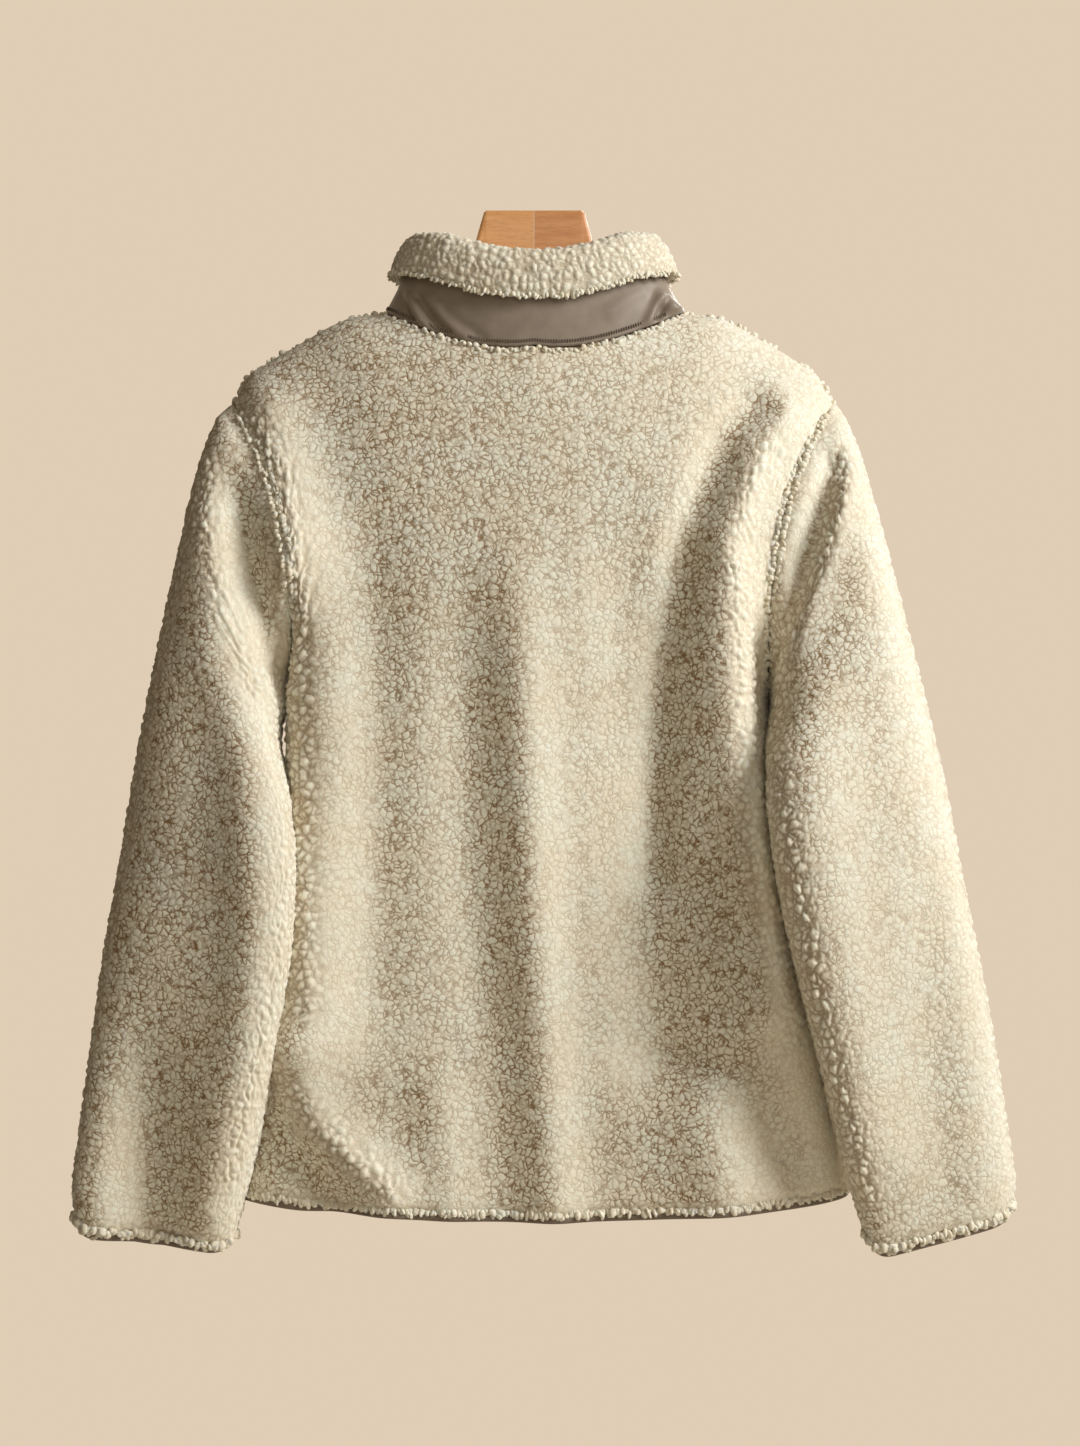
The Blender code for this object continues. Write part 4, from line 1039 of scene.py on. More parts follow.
def pile_look(rope, normal, near):
    """How much painted shade the crevices get, and how far the curls are rounded into beads.

    The crevices get less painted shade on a slope that faces the key lamp at the wearer's right,
    and more on one that faces away.
    Narrow folds, and the cloth's edges, bend the pile open into beads.
    """
    aside = normal[..., 0] * (1 - normal[..., 0] ** 2)
    # painted shade: crevices get less of it on slopes towards the key lamp, more on those away
    # from it
    opened = np.clip(CREVICE_SHADE_MEAN - CREVICE_SHADE_LEAN * aside, CREVICE_SHADE_LEAST, 1.0)
    bead = np.clip(rope / BEAD_FULL, 0, 1)
    turned = (np.abs(normal[..., 0]) - TURNED_FROM) / TURNED_OVER
    bead = np.maximum(bead, np.clip(turned, 0, TURNED_BEADS))
    bead = np.maximum(bead, EDGE_BEADS * (1 - near))
    return np.stack([opened * (1 - BEAD_PALE * bead), bead, np.zeros_like(bead)], -1)


def make_pile(node, outer, inner, normal, look, wrap=False):
    """A fleece piece in place of a cut one: curls on its outer face, and a smooth inside."""
    nap = normal * (LOW_SHARE + (1 - LOW_SHARE) * look[..., 1:2])
    made = shell(node + "_pile", outer, inner, nap, look, wrap)
    grow(made, CURLS, height=CURL_HEIGHT)
    keep(made, "sherpa_fleece", node, paint=FLEECE)


def make_body():
    """The back, in one piece from its two halves, and both fronts."""
    halves = {
        (face, side): half_panel(face, side) for face in (BACK, FRONT) for side in (LEFT, RIGHT)
    }
    left, right = halves[BACK, LEFT], halves[BACK, RIGHT]
    whole = [np.concatenate([left[k][:, ::-1], right[k][:, 1:]], axis=1) for k in range(3)]
    panels = [("back", BACK, whole)]
    panels += [(f"front_{word}", FRONT, halves[FRONT, side]) for side, word in SIDES]
    for name, face, (grid, normal, rope) in panels:
        outer, near = round_edges(grid, normal, PANEL_EDGES)
        wall = normal.copy()
        for end in (0, -1) if face == BACK else (-1,):
            wall[:, end, 1] = 0
        apart = (0, face * SEAM_GAP / 2, 0)
        inner = grid - PILE_WALL * unit(wall) + apart
        make_pile(name, outer + apart, inner, normal, pile_look(rope, normal, near))
    return halves


SLEEVE_FRONT_SHARE = 0.8  # the folds on a sleeve's front, to those behind
CORNER_RUN = 0.060  # a cuff's corners are drawn up over this length of the sleeve
CORNER_REACH = 0.020  # and this breadth
CUFF_CORNERS = {LEFT: (0.009, 0.010), RIGHT: (0.014, 0.007)}  # at the inner and outer corner
SEAM_LAP = 0.0022  # how far the sleeve's pile closes over the armhole's
ARMPIT_TUCK = {LEFT: 0.004, RIGHT: 0.011}  # how far the underarm's pile is pressed to the body
ARMPIT_AT = 3  # the station at which it is, and how many stations it reaches
ARMPIT_REACH = 1.6
SLEEVE_KEYS = 400  # stations at which the plain sleeve is measured


def cuff_corners(grid, side):
    """How far the cuff's two corners are drawn up, which hang round and not square."""
    across = side * grid[..., 0]
    from_inner = across - across.min(axis=1, keepdims=True)
    from_outer = across.max(axis=1, keepdims=True) - across
    low = np.clip(1 - edge_distance(grid, 0, -1) / CORNER_RUN, 0, 1) ** 2
    lift = np.zeros_like(across)
    for away, tall in zip((from_inner, from_outer), CUFF_CORNERS[side]):
        turned = np.clip(1 - away / CORNER_REACH, 0, 1)
        lift += tall * (1 - np.sqrt(1 - turned**2))
    return low * lift


def make_sleeve(name, side, halves):
    """A sleeve that starts on its armhole's own line. Gives its points and normals."""
    back, front = halves[BACK, side][0], halves[FRONT, side][0]
    rows = panel_rows()[LOWER_ROWS:]
    loop = np.concatenate([back[LOWER_ROWS:, -1][::-1], front[LOWER_ROWS:, -1][1:-1]])
    turn = np.concatenate([math.pi * (2 - rows[::-1]), math.pi * rows[1:-1]])
    last = len(SLEEVES[side]) - 1
    keys = np.linspace(0, last, SLEEVE_KEYS)
    middle_line = sleeve_ring(side, keys, np.full(SLEEVE_KEYS, math.pi / 2))
    stations = even_steps(middle_line, keys, SLEEVE_ROWS)
    station, turns = np.meshgrid(stations, turn, indexing="ij")
    grid = sleeve_ring(side, station, turns)
    fade = np.clip(1 - station / last / CAP_SHARE, 0, 1) ** 2
    grid = grid + fade[..., None] * (loop - grid[0])[None]

    middle = (grid.max(axis=1, keepdims=True) + grid.min(axis=1, keepdims=True)) / 2
    bare = normals_of(grid, grid - middle, wrap=True)
    height = fold_height(SLEEVE_FOLDS[side], grid[..., 0], grid[..., 2])
    behind = np.abs(bare[..., 1]) * np.where(bare[..., 1] < 0, 1, SLEEVE_FRONT_SHARE)
    rope = fold_height(SLEEVE_ROPES[side], grid[..., 0], grid[..., 2]) * behind
    height = height * behind * np.clip(station / SLEEVE_FOLDS_FROM, 0, 1) + rope
    grid = grid + bare * height[..., None] + (side * ARMHOLE_GAP, 0, 0)
    under = np.exp(-(((station - ARMPIT_AT) / ARMPIT_REACH) ** 2))
    under = under * np.clip(-np.cos(turns), 0, 1) ** 2
    grid[..., 0] -= side * ARMPIT_TUCK[side] * under
    grid[..., 2] += cuff_corners(grid, side)

    normal = normals_of(grid, grid - middle, wrap=True)
    outer, near = round_edges(grid, normal, SLEEVE_EDGES)
    outer[0, :, 0] -= side * SEAM_LAP
    inner = grid - PILE_WALL * normal
    make_pile(name, outer, inner, normal, pile_look(rope, normal, near), wrap=True)
    return grid, normal


# ---------------------------------------------------------------- the collar

COLLAR_STEPS = 86
STAND_STEPS = 32
ROLL_STEPS = 104
ROLL_CURLS = (1.22, 1.22, 1.3)  # the beads of the roll are smaller than the body's by these
ROLL_SHARE = 0.75  # and stand at this share of the body's curls
# the shares of painted crevice shade and of beads on the roll
ROLL_LOOK = (0.35, 0.9, 0.0)
ROLL_TURNS = 0.020  # from the side to the back of the neck
ROLL_SIDE = 0.088  # half the collar's breadth
ROLL_SIDES_UP = 0.0045  # the roll stands up at both sides of the back of the neck
ROLL_DIP = 0.0030  # and sags between them
ROLL_FULLER = 0.45
CREASE_PRESSED = 0.8  # the roll presses this share of the stand's creases flat
CREASE_OVER = 0.004  # over this height
CREASE_FROM = 0.06  # the creases start over this share of the stand's height
CREASE_LEAST = 0.2
STAND_FOLDS = (
    Fold(-0.106, -0.047, -0.099, -0.062, -0.091, -0.078, 0.0040, -0.0036),
    Fold(-0.099, -0.047, -0.089, -0.066, -0.079, -0.080, 0.0038, 0.0030),
    Fold(-0.090, -0.048, -0.080, -0.064, -0.068, -0.078, 0.0036, -0.0030),
    Fold(-0.082, -0.050, -0.070, -0.066, -0.054, -0.080, 0.0050, 0.0018),
    Fold(-0.070, -0.060, -0.056, -0.072, -0.040, -0.082, 0.0045, -0.0012),
    Fold(0.084, -0.080, 0.091, -0.064, 0.098, -0.046, 0.0034, 0.0034),
    Fold(0.090, -0.080, 0.097, -0.064, 0.103, -0.050, 0.0028, -0.0040),
    Fold(0.102, -0.050, 0.111, -0.057, 0.118, -0.062, 0.0050, 0.0060),
    Fold(0.060, -0.060, 0.074, -0.050, 0.084, -0.044, 0.0060, 0.0014),
)


def neckline():
    """Points of the neck seam and their face, from one front edge round the back to the other."""
    points, faces = [], []
    for i, (face, side, step) in enumerate(ROUND_THE_BODY):
        middle = FRONT_EDGE if face == FRONT else 0.0
        turn = np.linspace(math.asin(middle / NECK_POINT[0]), math.pi / 2, COLLAR_STEPS + 1)
        share = (NECK_POINT[0] * np.sin(turn) - middle) / (SHOULDER_TIP[0] - middle)
        line = body_surface(face, side, share, 2.0)[::step][0 if i == 0 else 1 :]
        points.append(line)
        faces.append(np.full(len(line), face))
    return np.concatenate(points), np.concatenate(faces)


def collar_frame():
    """Base points, unit rise, unit outward direction and height of the collar round the neck."""
    points, faces = neckline()
    base = points + (0, 0, SEAM_GAP)
    middle = np.where(faces == FRONT, FRONT_EDGE, 0.0)
    share = (np.abs(points[:, 0]) - middle) / (NECK_POINT[0] - middle)
    fore = np.sqrt(np.clip(1 - (points[:, 0] / NECK_POINT[0]) ** 2, 0, 1))
    depth = np.where(faces == FRONT, STAND_TOP_DEPTH[FRONT], STAND_TOP_DEPTH[BACK])
    end_z = np.where(faces == FRONT, COLLAR_TOP_Z[FRONT], COLLAR_TOP_Z[BACK])
    top = np.stack(
        [
            np.sign(points[:, 0]) * (middle + share * (STAND_TOP_X - middle)),
            HANG_PLANE + faces * depth * fore,
            COLLAR_TOP_Z[0] + (end_z - COLLAR_TOP_Z[0]) * fore**2,
        ],
        -1,
    )
    rise = unit(top - base)
    outward = np.cross(np.gradient(base, axis=0), rise)
    away = (base - (0, HANG_PLANE, 0)) * (1, 1, 0)
    outward = outward * np.where((outward * away).sum(-1, keepdims=True) < 0, -1, 1)
    return base, rise, unit(outward), np.linalg.norm(top - base, axis=-1)


def rounded(corners, count):
    """A closed curve in even steps that rounds off a section's corners.

    The first two columns are places, and any others are weights that follow them.
    """
    for _ in range(3):
        after = np.roll(corners, -1, axis=0)
        corners = np.stack([corners * 0.75 + after * 0.25, corners * 0.25 + after * 0.75], 1)
        corners = corners.reshape(-1, corners.shape[-1])
    ring = np.vstack([corners, corners[:1]])
    length = run_length(ring[:, :2])
    at = np.linspace(0, length[-1], count + 1)[:-1]
    return np.stack([np.interp(at, length, column) for column in ring.T], -1)


def roll_sway(point):
    """How far above its plain height the roll stands at a point of the neck, and how full."""
    behind = np.clip((HANG_PLANE - point[1]) / ROLL_TURNS, 0, 1)
    aside = np.clip(abs(point[0]) / ROLL_SIDE, 0, 1) ** 2
    return behind * (ROLL_SIDES_UP * aside - ROLL_DIP * (1 - aside)), 1 + ROLL_FULLER * aside


def make_stand(base, rise, outward, height):
    """The nylon stand, with its creases, up to just under the top of the roll."""
    levels = np.linspace(0, 1, STAND_STEPS + 1)[:, None]
    grid = base + levels[..., None] * (height - STAND_SHORT)[:, None] * rise
    creases = fold_height(STAND_FOLDS, grid[..., 0], grid[..., 2])
    into_roll = levels * (height - STAND_SHORT) - (height - ROLL_FALL)
    creases = creases * (1 - CREASE_PRESSED * np.clip(into_roll / CREASE_OVER, 0, 1))
    creases = creases * (grid[..., 1] < HANG_PLANE)
    creases = creases * np.clip(levels / CREASE_FROM, CREASE_LEAST, 1)
    outer = grid + outward * creases[..., None]
    inner = outer - SHELL_WALL * outward
    stand = shell("collar_stand_nylon", outer, inner, np.zeros_like(outer), every=2)
    keep(stand, "woven_nylon", "collar_stand", paint=NYLON)


def make_roll(base, rise, outward, height):
    """The sherpa lining, which comes up inside the stand and turns down over it."""
    inside = -SHELL_WALL - ROLL_GAP - TAPE_THICK
    within = inside - LINING_WALL
    low = [(inside, LINING_LIFT, LINING_CURLS), (within, LINING_LIFT, LINING_CURLS)]
    high = [(within, LINING_BENDS, BEND_CURLS), *ROLL, (inside, LINING_JOINS, 0.0)]
    rings, lifts = [], []
    for point, up, out, tall in zip(base, rise, outward, height):
        sway, fuller = roll_sway(point)
        turned = [(n * (fuller if n > ROLL_GAP else 1), tall + u + sway, w) for n, u, w in high]
        ring = rounded(np.array(low + turned), ROLL_STEPS)
        rings.append(point + ring[:, :1] * out + ring[:, 1:2] * up)
        lifts.append(ring[:, 2])
    rings = np.array(rings)
    made = loft("collar_roll_pile", rings)
    normals = np.empty(len(made.data.vertices) * 3)
    made.data.vertices.foreach_get("normal", normals)
    nap = normals.reshape(-1, 3) * np.array(lifts).reshape(-1, 1)
    look = np.tile(ROLL_LOOK, (len(nap), 1))
    give(made, rest=rings.reshape(-1, 3) * ROLL_CURLS, nap=nap, pile=look)
    grow(made, CURLS, height=CURL_HEIGHT * ROLL_SHARE)
    keep(made, "sherpa_fleece", "collar_pile", paint=FLEECE)


# ---------------------------------------------------------------- bindings, edges and seams

DOWN = np.array([0.0, 0.0, -1.0])
BINDING_SIDES = 14
CUFF_RUN = 8  # rows of the sleeve over which its direction at the cuff is read

# Loose locks of pile: the half sizes of one, along, across and out from its line, the space
# between them, and the seed from which they are strewn
Locks = namedtuple("Locks", "size spacing seed")
HEM_LOCKS = Locks((0.0023, 0.0021, 0.0036), 0.0037, 3)
CUFF_LOCKS = Locks((0.0028, 0.0025, 0.0034), 0.0033, 11)
ROLL_LOCKS = Locks((0.0017, 0.0016, 0.0026), 0.0027, 21)
NECK_LOCKS = Locks((0.0025, 0.0022, 0.0024), 0.0036, 27)
SEAM_BEADS = Locks((0.0030, 0.0028, 0.0026), 0.0046, 41)
ARMHOLE_BEADS = Locks((0.0027, 0.0024, 0.0022), 0.0040, 61)
LOCK_STRAYS = (0.0012, 0.0010, 0.0016)
LOCK_LEANS = 0.6  # in radians, at most
LOCK_VARIES = 0.42  # a share of its size
# the shares of painted crevice shade and of beads on a lock
LOCK_LOOK = (0.3, 0.2, 0.0)
# Two rows along the hem and each cuff, by how far in from the edge and how far down they start
HEM_ROWS = ((0.0016, 0.0002), (0.0030, -0.0004))
CUFF_ROWS = ((0.0008, -0.0012), (0.0030, 0.0016))
HEM_SPLAY, CUFF_SPLAY, ROLL_SPLAY, NECK_SPLAY = 0.35, 0.4, 0.5, 0.5  # outwards, or up the stand
ROLL_LOCKS_UP = 0.0006
ROLL_LOCKS_OUT = 0.0068
NECK_LOCKS_DOWN = 0.0030
NECK_LOCKS_OUT = 0.0004
ARMHOLE_BEAD_ROWS = (-0.0030, 0.0022)  # to the two sides of the seam
ARMHOLE_BEADS_SUNK = 0.0004
ARMHOLE_BEADS_LEAN = (0.35, 0.2)  # outwards and up, for each step to the back or the front
ARMHOLE_ENDS = (6, 9)  # rows left bare at the underarm and at the shoulder
SEAM_BEADS_SUNK = 0.0016

# Stitches: the half sizes of one, the space between them and how unevenly they are pulled
Stitches = namedtuple("Stitches", "size spacing vary")
OVERCAST = Stitches((0.0019, 0.0005, 0.0005), 0.0021, 0.12)
BINDING_STITCHES = Stitches((0.0012, 0.0003, 0.0003), 0.0034, 0.08)
ZIP_STITCHES = Stitches((0.0010, 0.00028, 0.00028), 0.0026, 0.08)
STITCH_SEED = 5
OVERCAST_UP = 0.0040  # from the neck seam
OVERCAST_OUT = 0.0005
OVERCAST_SLANT = (0.9, 30)  # shares of the stand's rise and of the step along the seam
STITCHES_DOWN = 0.42  # a share of the binding's height


def band(name, edge, normal, down, closed, node):
    """A folded tape round a raw edge: a soft rectangle in section."""
    near, far = BINDING_INSET, BINDING_INSET + BINDING_WALL
    top, low = BINDING_GAP, BINDING_GAP + BINDING_HEIGHT
    flat = rounded(np.array([(near, top), (near, low), (far, low), (far, top)]), BINDING_SIDES)
    in_out, up_down = flat[None, :, :1], flat[None, :, 1:]
    down = down * np.ones_like(edge)
    rings = edge[:, None] - in_out * normal[:, None] + up_down * down[:, None]
    keep(loft(name, rings, closed), "binding_tape", node, paint=TAPE)


def hem_line(halves):
    """Points and normals of the hem, from one front edge round the back to the other."""
    points, normals = [], []
    for i, (face, side, step) in enumerate(ROUND_THE_BODY):
        grid, normal, _ = halves[face, side]
        kept = slice(0 if i == 0 else 1, None)
        points.append(grid[0][::step][kept])
        turned = normal[0].copy()
        turned[-1, 1] = 0
        normals.append(unit(turned)[::step][kept])
    return np.concatenate(points), np.concatenate(normals)


def cuff_line(sleeve):
    """Points, normals and downward directions of a sleeve's lower edge."""
    grid, normal = sleeve
    return grid[-1], normal[-1], unit(grid[-1] - grid[-CUFF_RUN])


def make_bindings(hem, sleeves):
    """The tapes that bind the hem and both cuffs."""
    band("hem_binding_tape", *hem, DOWN, False, "hem_binding")
    for side, word in SIDES:
        band(f"cuff_binding_tape_{word}", *cuff_line(sleeves[side]), True, f"cuff_binding_{word}")


def locks_along(name, points, away, locks, more=0):
    """Locks of pile that hang over an edge or a seam in a ragged line."""
    made = line_of(name, points, unit(np.gradient(points, axis=0)), unit(away))
    grow(
        made,
        LOCKS,
        spacing=locks.spacing,
        size=locks.size,
        jitter=LOCK_STRAYS,
        lean=LOCK_LEANS,
        vary=LOCK_VARIES,
        seed=locks.seed + more,
        material=FLEECE,
    )
    rest = np.empty(len(made.data.vertices) * 3)
    made.data.vertices.foreach_get("co", rest)
    give(made, rest=rest, pile=np.tile(LOCK_LOOK, (len(rest) // 3, 1)))
    keep(made, "sherpa_fleece")


def make_edges(hem, sleeves, collar):
    """The ragged lower edges of the pile, over the bindings and the collar stand."""
    edge, normal = hem
    for i, (inset, drop) in enumerate(HEM_ROWS):
        line = edge - inset * normal + drop * DOWN
        locks_along(f"hem_locks_{i}", line, DOWN + HEM_SPLAY * normal, HEM_LOCKS, i)
    for side, word in SIDES:
        line = cuff_line(sleeves[side])
        ring, out, down = (np.vstack([part, part[:1]]) for part in line)
        for i, (inset, drop) in enumerate(CUFF_ROWS):
            line = ring - inset * out + drop * down
            name = f"cuff_locks_{word}_{i}"
            locks_along(name, line, down + CUFF_SPLAY * out, CUFF_LOCKS, side + 5 * i)
    base, rise, outward, height = collar
    sway, fuller = (np.array(part)[:, None] for part in zip(*(roll_sway(p) for p in base)))
    low = base + rise * (height[:, None] - ROLL_FALL + ROLL_LOCKS_UP + sway)
    low = low + outward * ROLL_LOCKS_OUT * fuller
    locks_along("roll_locks", low, ROLL_SPLAY * outward - rise, ROLL_LOCKS)
    line = base - NECK_LOCKS_DOWN * rise + NECK_LOCKS_OUT * outward
    locks_along("neck_locks", line, outward + NECK_SPLAY * rise, NECK_LOCKS)


def make_seams(halves):
    """The beads of pile that close over the armhole, side and shoulder seams."""
    low, high = ARMHOLE_ENDS
    outwards, up = ARMHOLE_BEADS_LEAN
    for side, word in SIDES:
        for face, part in ((BACK, "back"), (FRONT, "front")):
            line = halves[face, side][0][LOWER_ROWS + low : -high, -1]
            out = unit(np.array([outwards * side, face, up])) * np.ones_like(line)
            for i, shift in enumerate(ARMHOLE_BEAD_ROWS):
                row = line + (side * shift, 0, 0) - ARMHOLE_BEADS_SUNK * out
                name = f"armhole_beads_{word}_{part}_{i}"
                locks_along(name, row, out, ARMHOLE_BEADS, 4 * i + 2 * side + face)
        back = halves[BACK, side][0]
        side_seam, shoulder = back[:LOWER_ROWS, -1], back[-1, ::-1][: SIDE_COLUMNS + 2]
        for i, (line, out) in enumerate(((side_seam, (side, 0, 0)), (shoulder, (0, 0, 1)))):
            out = np.array(out, float) * np.ones_like(line)
            name = f"seam_beads_{word}_{i}"
            locks_along(name, line - SEAM_BEADS_SUNK * out, out, SEAM_BEADS, i + side)


def stitches_along(name, points, run, away, stitches, thread):
    made = line_of(name, points, run, away)
    grow(
        made,
        STITCHES,
        spacing=stitches.spacing,
        size=stitches.size,
        vary=stitches.vary,
        seed=STITCH_SEED,
        material=thread,
    )
    keep(made, "woven_nylon")


def make_stitches(hem, sleeves, collar):
    """The close overcast stitch at the neck seam, and one row along each binding."""
    base, rise, outward, _ = collar
    up, on = OVERCAST_SLANT
    line = base + rise * OVERCAST_UP + outward * OVERCAST_OUT
    slanted = unit(rise * up + np.gradient(base, axis=0) * on)
    stitches_along("neck_overcast", line, slanted, outward, OVERCAST, DARK_THREAD)
    drop = BINDING_GAP + BINDING_HEIGHT * STITCHES_DOWN
    rows = [("hem_stitches", *hem, DOWN)]
    rows += [(f"cuff_stitches_{word}", *cuff_line(sleeves[side])) for side, word in SIDES]
    for name, edge, normal, down in rows:
        line = edge - BINDING_INSET * normal + down * drop
        run = unit(np.gradient(line, axis=0))
        stitches_along(name, line, run, unit(normal), BINDING_STITCHES, THREAD)


# ---------------------------------------------------------------- the zip and the hanger

BODY_LEVELS = 60
ZIP_STEPS = 240
TAPE_EDGES = 9  # points across a tape
TAPE_UNDER = 0.0022  # how far a tape reaches under the chain
ZIP_STITCH_OUT = 0.0012  # from the edge of the chain
TOOTH_PITCH = 0.0022
TOOTH_SIZE = (0.0012, 0.0034, 0.0025)
TOOTH_OUT = 0.0011  # from the middle of the chain to the middle of a row of teeth
TOOTH_STAGGER = 3  # steps of the line by which the rows mesh
HANGER_AROUND = 72
HANGER_STEPS = 90


def zip_line(halves, collar):
    """Points and outward directions of the zip, up the middle of the closed front."""
    grid, normal, _ = (part[:, 0] for part in halves[FRONT, RIGHT])
    inner = grid - PILE_WALL * unit(normal * (0, 1, 1))
    body_z = np.linspace(HEM_Z + ZIP_FROM, inner[-1, 2] - ZIP_NECK, BODY_LEVELS)
    tilt = smooth(grid[:, 2], normal[:, 1], body_z)
    body_y = smooth(grid[:, 2], grid[:, 1], body_z) - ZIP_BEHIND / tilt
    body = np.stack([np.zeros(BODY_LEVELS), body_y, body_z], -1)
    neck = inner[-1] - (0, NECK_BEHIND, 0)
    base, rise, outward, height = collar
    behind = SHELL_WALL + SEAM_GAP + TAPE_THICK / 2
    levels = np.array([*ZIP_LEVELS, height[0] - ZIP_SHORT])
    stand = base[0] + levels[:, None] * rise[0] - behind * outward[0]
    line = np.concatenate([body, neck[None], stand]) * (0, 1, 1)
    length = run_length(line)
    at = np.linspace(0, length[-1], ZIP_STEPS)
    line = np.stack([smooth(length, column, at) for column in line.T], -1)
    return line, np.cross(unit(np.gradient(line, axis=0)), (1.0, 0, 0))


def make_zip(halves, collar):
    """Two tapes with a row of stitches each, and the closed chain of teeth between them."""
    line, facing = zip_line(halves, collar)
    near, far = ZIP_HALF + SEAM_GAP, ZIP_HALF + TAPE_WIDTH
    edges = np.linspace(near - TAPE_UNDER, far, TAPE_EDGES)
    bow = TAPE_BOW * ((edges - near) / (far - near)) ** 2
    for side, word in SIDES:
        fore = [(side * x, TAPE_THICK / 2 - b) for x, b in zip(edges, bow)]
        back = [(side * x, -TAPE_THICK / 2 - b) for x, b in zip(edges, bow)][::-1]
        section = np.array(fore + back)
        across = section[None, :, :1] * np.array([1.0, 0, 0])
        rings = line[:, None] + across + section[None, :, 1:] * facing[:, None]
        tape = loft(f"zip_tape_woven_{word}", rings)
        keep(tape, "zip_tape", f"zip_tape_{word}", paint=ZIP_CLOTH)
        row = line + (side * (near + ZIP_STITCH_OUT), 0, 0) + facing * TAPE_THICK / 2
        run = unit(np.gradient(row, axis=0))
        stitches_along(f"zip_stitches_{word}", row, run, unit(facing), ZIP_STITCHES, THREAD)
    chain = bmesh.new()
    for side, start in ((LEFT, 0), (RIGHT, TOOTH_STAGGER)):
        row = line[start:] + (side * TOOTH_OUT, 0, 0)
        teeth = line_of(f"zip_teeth_{side}", row, np.gradient(row, axis=0), facing[start:])
        grow(teeth, TEETH, spacing=TOOTH_PITCH, size=TOOTH_SIZE, material=BRASS)
        chain.from_mesh(teeth.data)
        bpy.data.objects.remove(teeth)
    keep(shown("zip_teeth", mesh_of("zip_teeth", chain)), "zip_metal", "zip_chain", paint=BRASS)


def softened(name, node, width, body="jacket"):
    """A cast metal piece on its cut solid's own shape, with its edges rounded as from a die."""
    bm = bmesh.new()
    bm.from_mesh(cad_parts[node].data)
    bmesh.ops.remove_doubles(bm, verts=bm.verts, dist=1e-5)
    bmesh.ops.dissolve_limit(bm, angle_limit=math.radians(2), verts=bm.verts, edges=bm.edges)
    made = shown(name, mesh_of(name, bm))
    bevel = made.modifiers.new("rounded", "BEVEL")
    bevel.width = width
    bevel.segments = 3
    bevel.limit_method = "ANGLE"
    bevel.angle_limit = math.radians(35)
    graph = bpy.context.evaluated_depsgraph_get()
    made.data = bpy.data.meshes.new_from_object(made.evaluated_get(graph))
    made.modifiers.clear()
    made.data.materials.clear()
    made.data.shade_smooth()
    made.data.set_sharp_from_angle(angle=math.radians(40))
    keep(made, "zip_metal", node, body=body, paint=BRASS)


def hanger_half(word, side, slot, wood):
    """One of two glued halves of beech that meet in the middle of the block."""
    keys = np.array([row.x for row in HANGER])
    at = np.unique(np.concatenate([keys, np.linspace(keys[0], keys[-1], HANGER_STEPS)]))
    turn = np.linspace(0, 2 * math.pi, HANGER_AROUND + 1)[:-1] + math.pi / HANGER_AROUND
    rings = []
    for x in at:
        top, bottom, thick, power = (
            float(np.interp(x, keys, [getattr(row, column) for row in HANGER]))
            for column in ("top", "bottom", "thick", "power")
        )
        c, s = oval(turn, power)
        c, s = c / c.max(), s / s.max()
        y = HANG_PLANE + c * thick / 2
        z = (top + bottom) / 2 + s * (top - bottom) / 2
        rings.append(np.stack([np.full_like(c, side * x), y, z], -1))
    made = loft(f"hanger_half_{word}", rings)
    made.data.set_sharp_from_angle(angle=math.radians(50))
    keep(made, slot, f"hanger_{word}", paint=wood)


# ---------------------------------------------------------------- everything made

BALL = "GeometryNodeMeshUVSphere"
CURLS = curl_tree()
LOCKS = line_tree("locks_of_pile", BALL, {"Segments": 8, "Rings": 5, "Radius": 1.0})
STITCHES = line_tree("sewn_stitches", BALL, {"Segments": 5, "Rings": 3, "Radius": 1.0})
TEETH = line_tree("zip_teeth_row", "GeometryNodeMeshCube", {"Size": (1.0, 1.0, 1.0)})

FLEECE = fleece_pile()
# Plain woven nylon, calendered: smooth, with a faint sheen along its creases
NYLON = ribbed("woven_nylon_taupe", "7b6e60", "8f8273", 0.0009, 0.0009, 0.12, 0.5, 0.25)
# Folded grosgrain tape: dull, with fine ribs across it
TAPE = ribbed("grosgrain_binding", "6f6152", "7f7161", 0.0012, 0.0010, 0.35, 0.8, 0.1)
# Herringbone polyester tape of the zip: dull and close
ZIP_CLOTH = ribbed("zip_tape_polyester", "6a5c4e", "7a6c5c", 0.0010, 0.0008, 0.3, 0.75, 0.1)
# Spun thread: matt, a little paler than the tape that it holds, and dark round the neck
THREAD = ribbed("spun_thread", "8a7c6c", "9a8c7b", 0.0005, 0.0005, 0.2, 0.7, 0.1)
DARK_THREAD = ribbed("overcast_thread", "4a3d30", "5c4d3e", 0.0005, 0.0005, 0.2, 0.8, 0.1)
BRASS = zip_brass()
# Two boards of one wood, glued with their grain at a slant, so that one half looks darker
BEECH_LIGHT = beech("oiled_beech_light", "e2aa70", "d4955c", 0.0)
BEECH_DARK = beech("oiled_beech_dark", "d29660", "bb7c48", math.radians(38))

HALVES = make_body()
SLEEVE_GRIDS = {side: make_sleeve(f"sleeve_{word}", side, HALVES) for side, word in SIDES}
HEM = hem_line(HALVES)
make_bindings(HEM, SLEEVE_GRIDS)
COLLAR = collar_frame()
make_stand(*COLLAR)
make_roll(*COLLAR)
make_edges(HEM, SLEEVE_GRIDS, COLLAR)
make_seams(HALVES)
make_stitches(HEM, SLEEVE_GRIDS, COLLAR)
make_zip(HALVES, COLLAR)
softened("zip_slider_cast", "zip_slider", 0.0003)
softened("zip_box_cast", "zip_box", 0.0006)
softened("zip_pull_cast", "zip_pull", 0.0003, body="pull_tab")
hanger_half("left", LEFT, "beech_light", BEECH_LIGHT)
hanger_half("right", RIGHT, "beech_dark", BEECH_DARK)

# ---------------------------------------------------------------- floor, light and camera

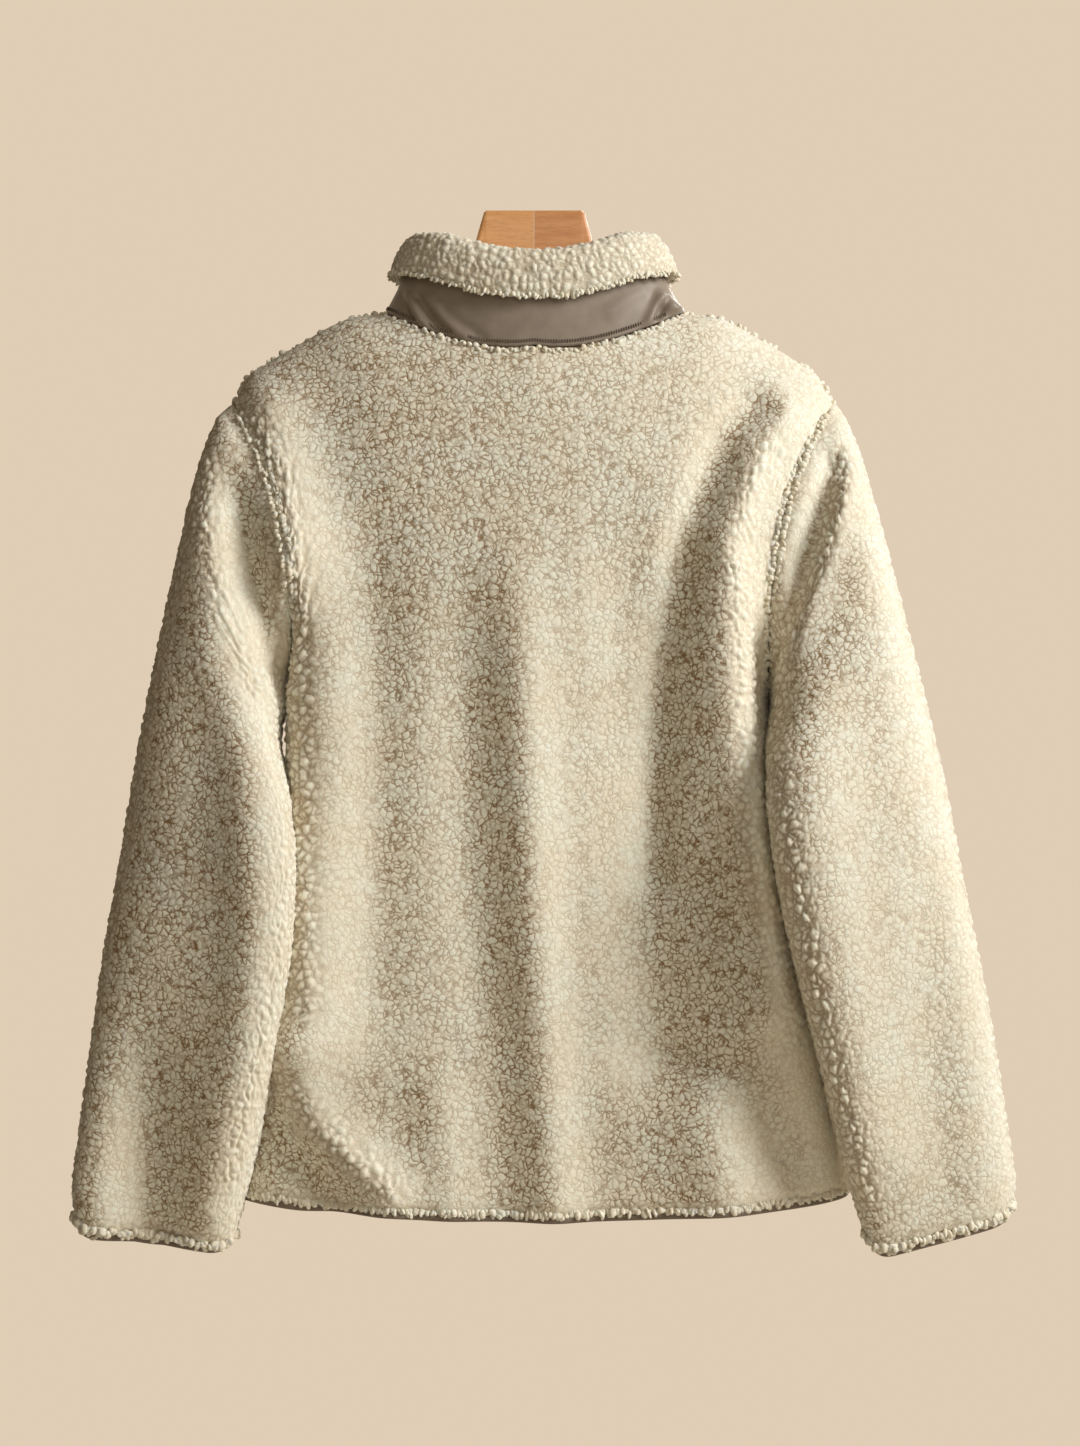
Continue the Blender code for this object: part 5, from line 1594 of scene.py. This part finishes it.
FLOOR_Z = -1.45
FLOOR_RADIUS = 1.15
MIDDLE = (0.0, 0.0, -0.40)
WARM = (1.0, 0.992, 0.975)
WARMER = (1.0, 0.94, 0.84)
ROOM_LIGHT = (0.096, 0.070, 0.038, 1.0)  # what the walls of the room send back
BACKDROP = "e0cdb5"
CAMERA_AT = (0.0047, -0.381)  # its X and Z
CAMERA_BACK = 2.58
CAMERA_LENS = 80.99


def aim(made, place, target):
    """Puts a lamp or a camera in its place and turns it towards a point."""
    made.location = place
    turn = (Vector(target) - Vector(place)).to_track_quat("-Z", "Y")
    made.rotation_euler = turn.to_euler()
    bpy.context.scene.collection.objects.link(made)


def lamp(name, place, size, power, colour):
    """A square lamp that faces the middle of the jacket."""
    data = bpy.data.lights.new(name, "AREA")
    data.size = size
    data.energy = power
    data.color = colour
    aim(bpy.data.objects.new(name, data), place, MIDDLE)


def make_floor():
    """A plain matt floor, well below the jacket."""
    bm = bmesh.new()
    bmesh.ops.create_circle(bm, cap_ends=True, segments=96, radius=FLOOR_RADIUS)
    floor = shown("floor", mesh_of("floor", bm))
    floor.location = (0, 0, FLOOR_Z)
    paint, tree, shader = new_material("pale_floor")
    wire(tree, shader, {"Base Color": linear("e6dccb"), "Roughness": 0.9})
    floor.data.materials.append(paint)


def make_world():
    """The backdrop as the camera sees it, and a dimmer, warmer light on the jacket."""
    world = bpy.data.worlds.new("studio")
    bpy.context.scene.world = world
    world.use_nodes = True
    tree = world.node_tree
    rays = add(tree, "ShaderNodeLightPath").outputs
    seen = maths(tree, "MAXIMUM", rays["Is Camera Ray"], rays["Is Glossy Ray"])
    seen = maths(tree, "MAXIMUM", seen, rays["Is Transmission Ray"])
    hue = blend(tree, seen, ROOM_LIGHT, linear(BACKDROP))
    wire(tree, tree.nodes["Background"], {"Color": hue, "Strength": 1.0})


def make_camera():
    data = bpy.data.cameras.new("camera")
    data.sensor_width = 36.0
    data.lens = CAMERA_LENS
    camera = bpy.data.objects.new("camera", data)
    x, z = CAMERA_AT
    aim(camera, (x, -CAMERA_BACK, z), (x, 0.0, z))
    bpy.context.scene.camera = camera
    bpy.context.scene.view_settings.view_transform = "Standard"


make_floor()
lamp("key", (2.35, -1.20, 0.90), 1.1, 88.0, WARM)
lamp("fill", (0.5, -2.8, 0.3), 1.6, 15.0, WARMER)
lamp("behind", (0.9, 2.5, 0.6), 1.4, 62.0, WARM)
make_world()
make_camera()

# ---------------------------------------------------------------- the cut sizes of the cloth

# A width and a length before sewing, the area inside them where the cut is curved, what holds the
# cloth up, and the trim that is sewn or rooted in it
Cut = namedtuple("Cut", "piece width length area held_up_by goes_with")
BACK_BEADS = [f"armhole_beads_{word}_back_{i}" for _, word in SIDES for i in (0, 1)]
CUTS = [
    Cut(
        "back_pile", 0.56, 0.73, 0.340,
        ("hanger_half_left", "hanger_half_right"), ("neck_locks", *BACK_BEADS),
    ),
    Cut("collar_stand_nylon", 0.57, 0.067, 0.0300, ("back_pile",), ("neck_overcast",)),
    Cut("collar_roll_pile", 0.56, 0.112, 0.0530, ("collar_stand_nylon",), ("roll_locks",)),
    Cut(
        "hem_binding_tape", 0.010, 1.08, None,
        ("back_pile", "front_left_pile", "front_right_pile"),
        ("hem_stitches", "hem_locks_0", "hem_locks_1"),
    ),
]
FRONT_CUT = {"left": (0.26, 0.72, 0.149), "right": (0.27, 0.72, 0.152)}
SLEEVE_CUT = {"left": (0.44, 0.66, 0.206), "right": (0.43, 0.66, 0.203)}
CUFF_CUT = {"left": (0.010, 0.310, None), "right": (0.010, 0.300, None)}
ZIP_TAPE_CUT = (0.0112, 0.702, None)
for _, word in SIDES:
    front, sleeve = f"front_{word}_pile", f"sleeve_{word}_pile"
    cuff, tape = f"cuff_binding_tape_{word}", f"zip_tape_woven_{word}"
    rows = (f"armhole_beads_{word}_front", f"seam_beads_{word}")
    beads = [f"{row}_{i}" for row in rows for i in (0, 1)]
    locks = [f"cuff_locks_{word}_{i}" for i in (0, 1)]
    CUTS += [
        Cut(front, *FRONT_CUT[word], (f"hanger_half_{word}",), beads),
        Cut(sleeve, *SLEEVE_CUT[word], ("back_pile", front), locks),
        Cut(cuff, *CUFF_CUT[word], (sleeve,), (f"cuff_stitches_{word}",)),
        Cut(tape, *ZIP_TAPE_CUT, (front,), (f"zip_stitches_{word}",)),
    ]
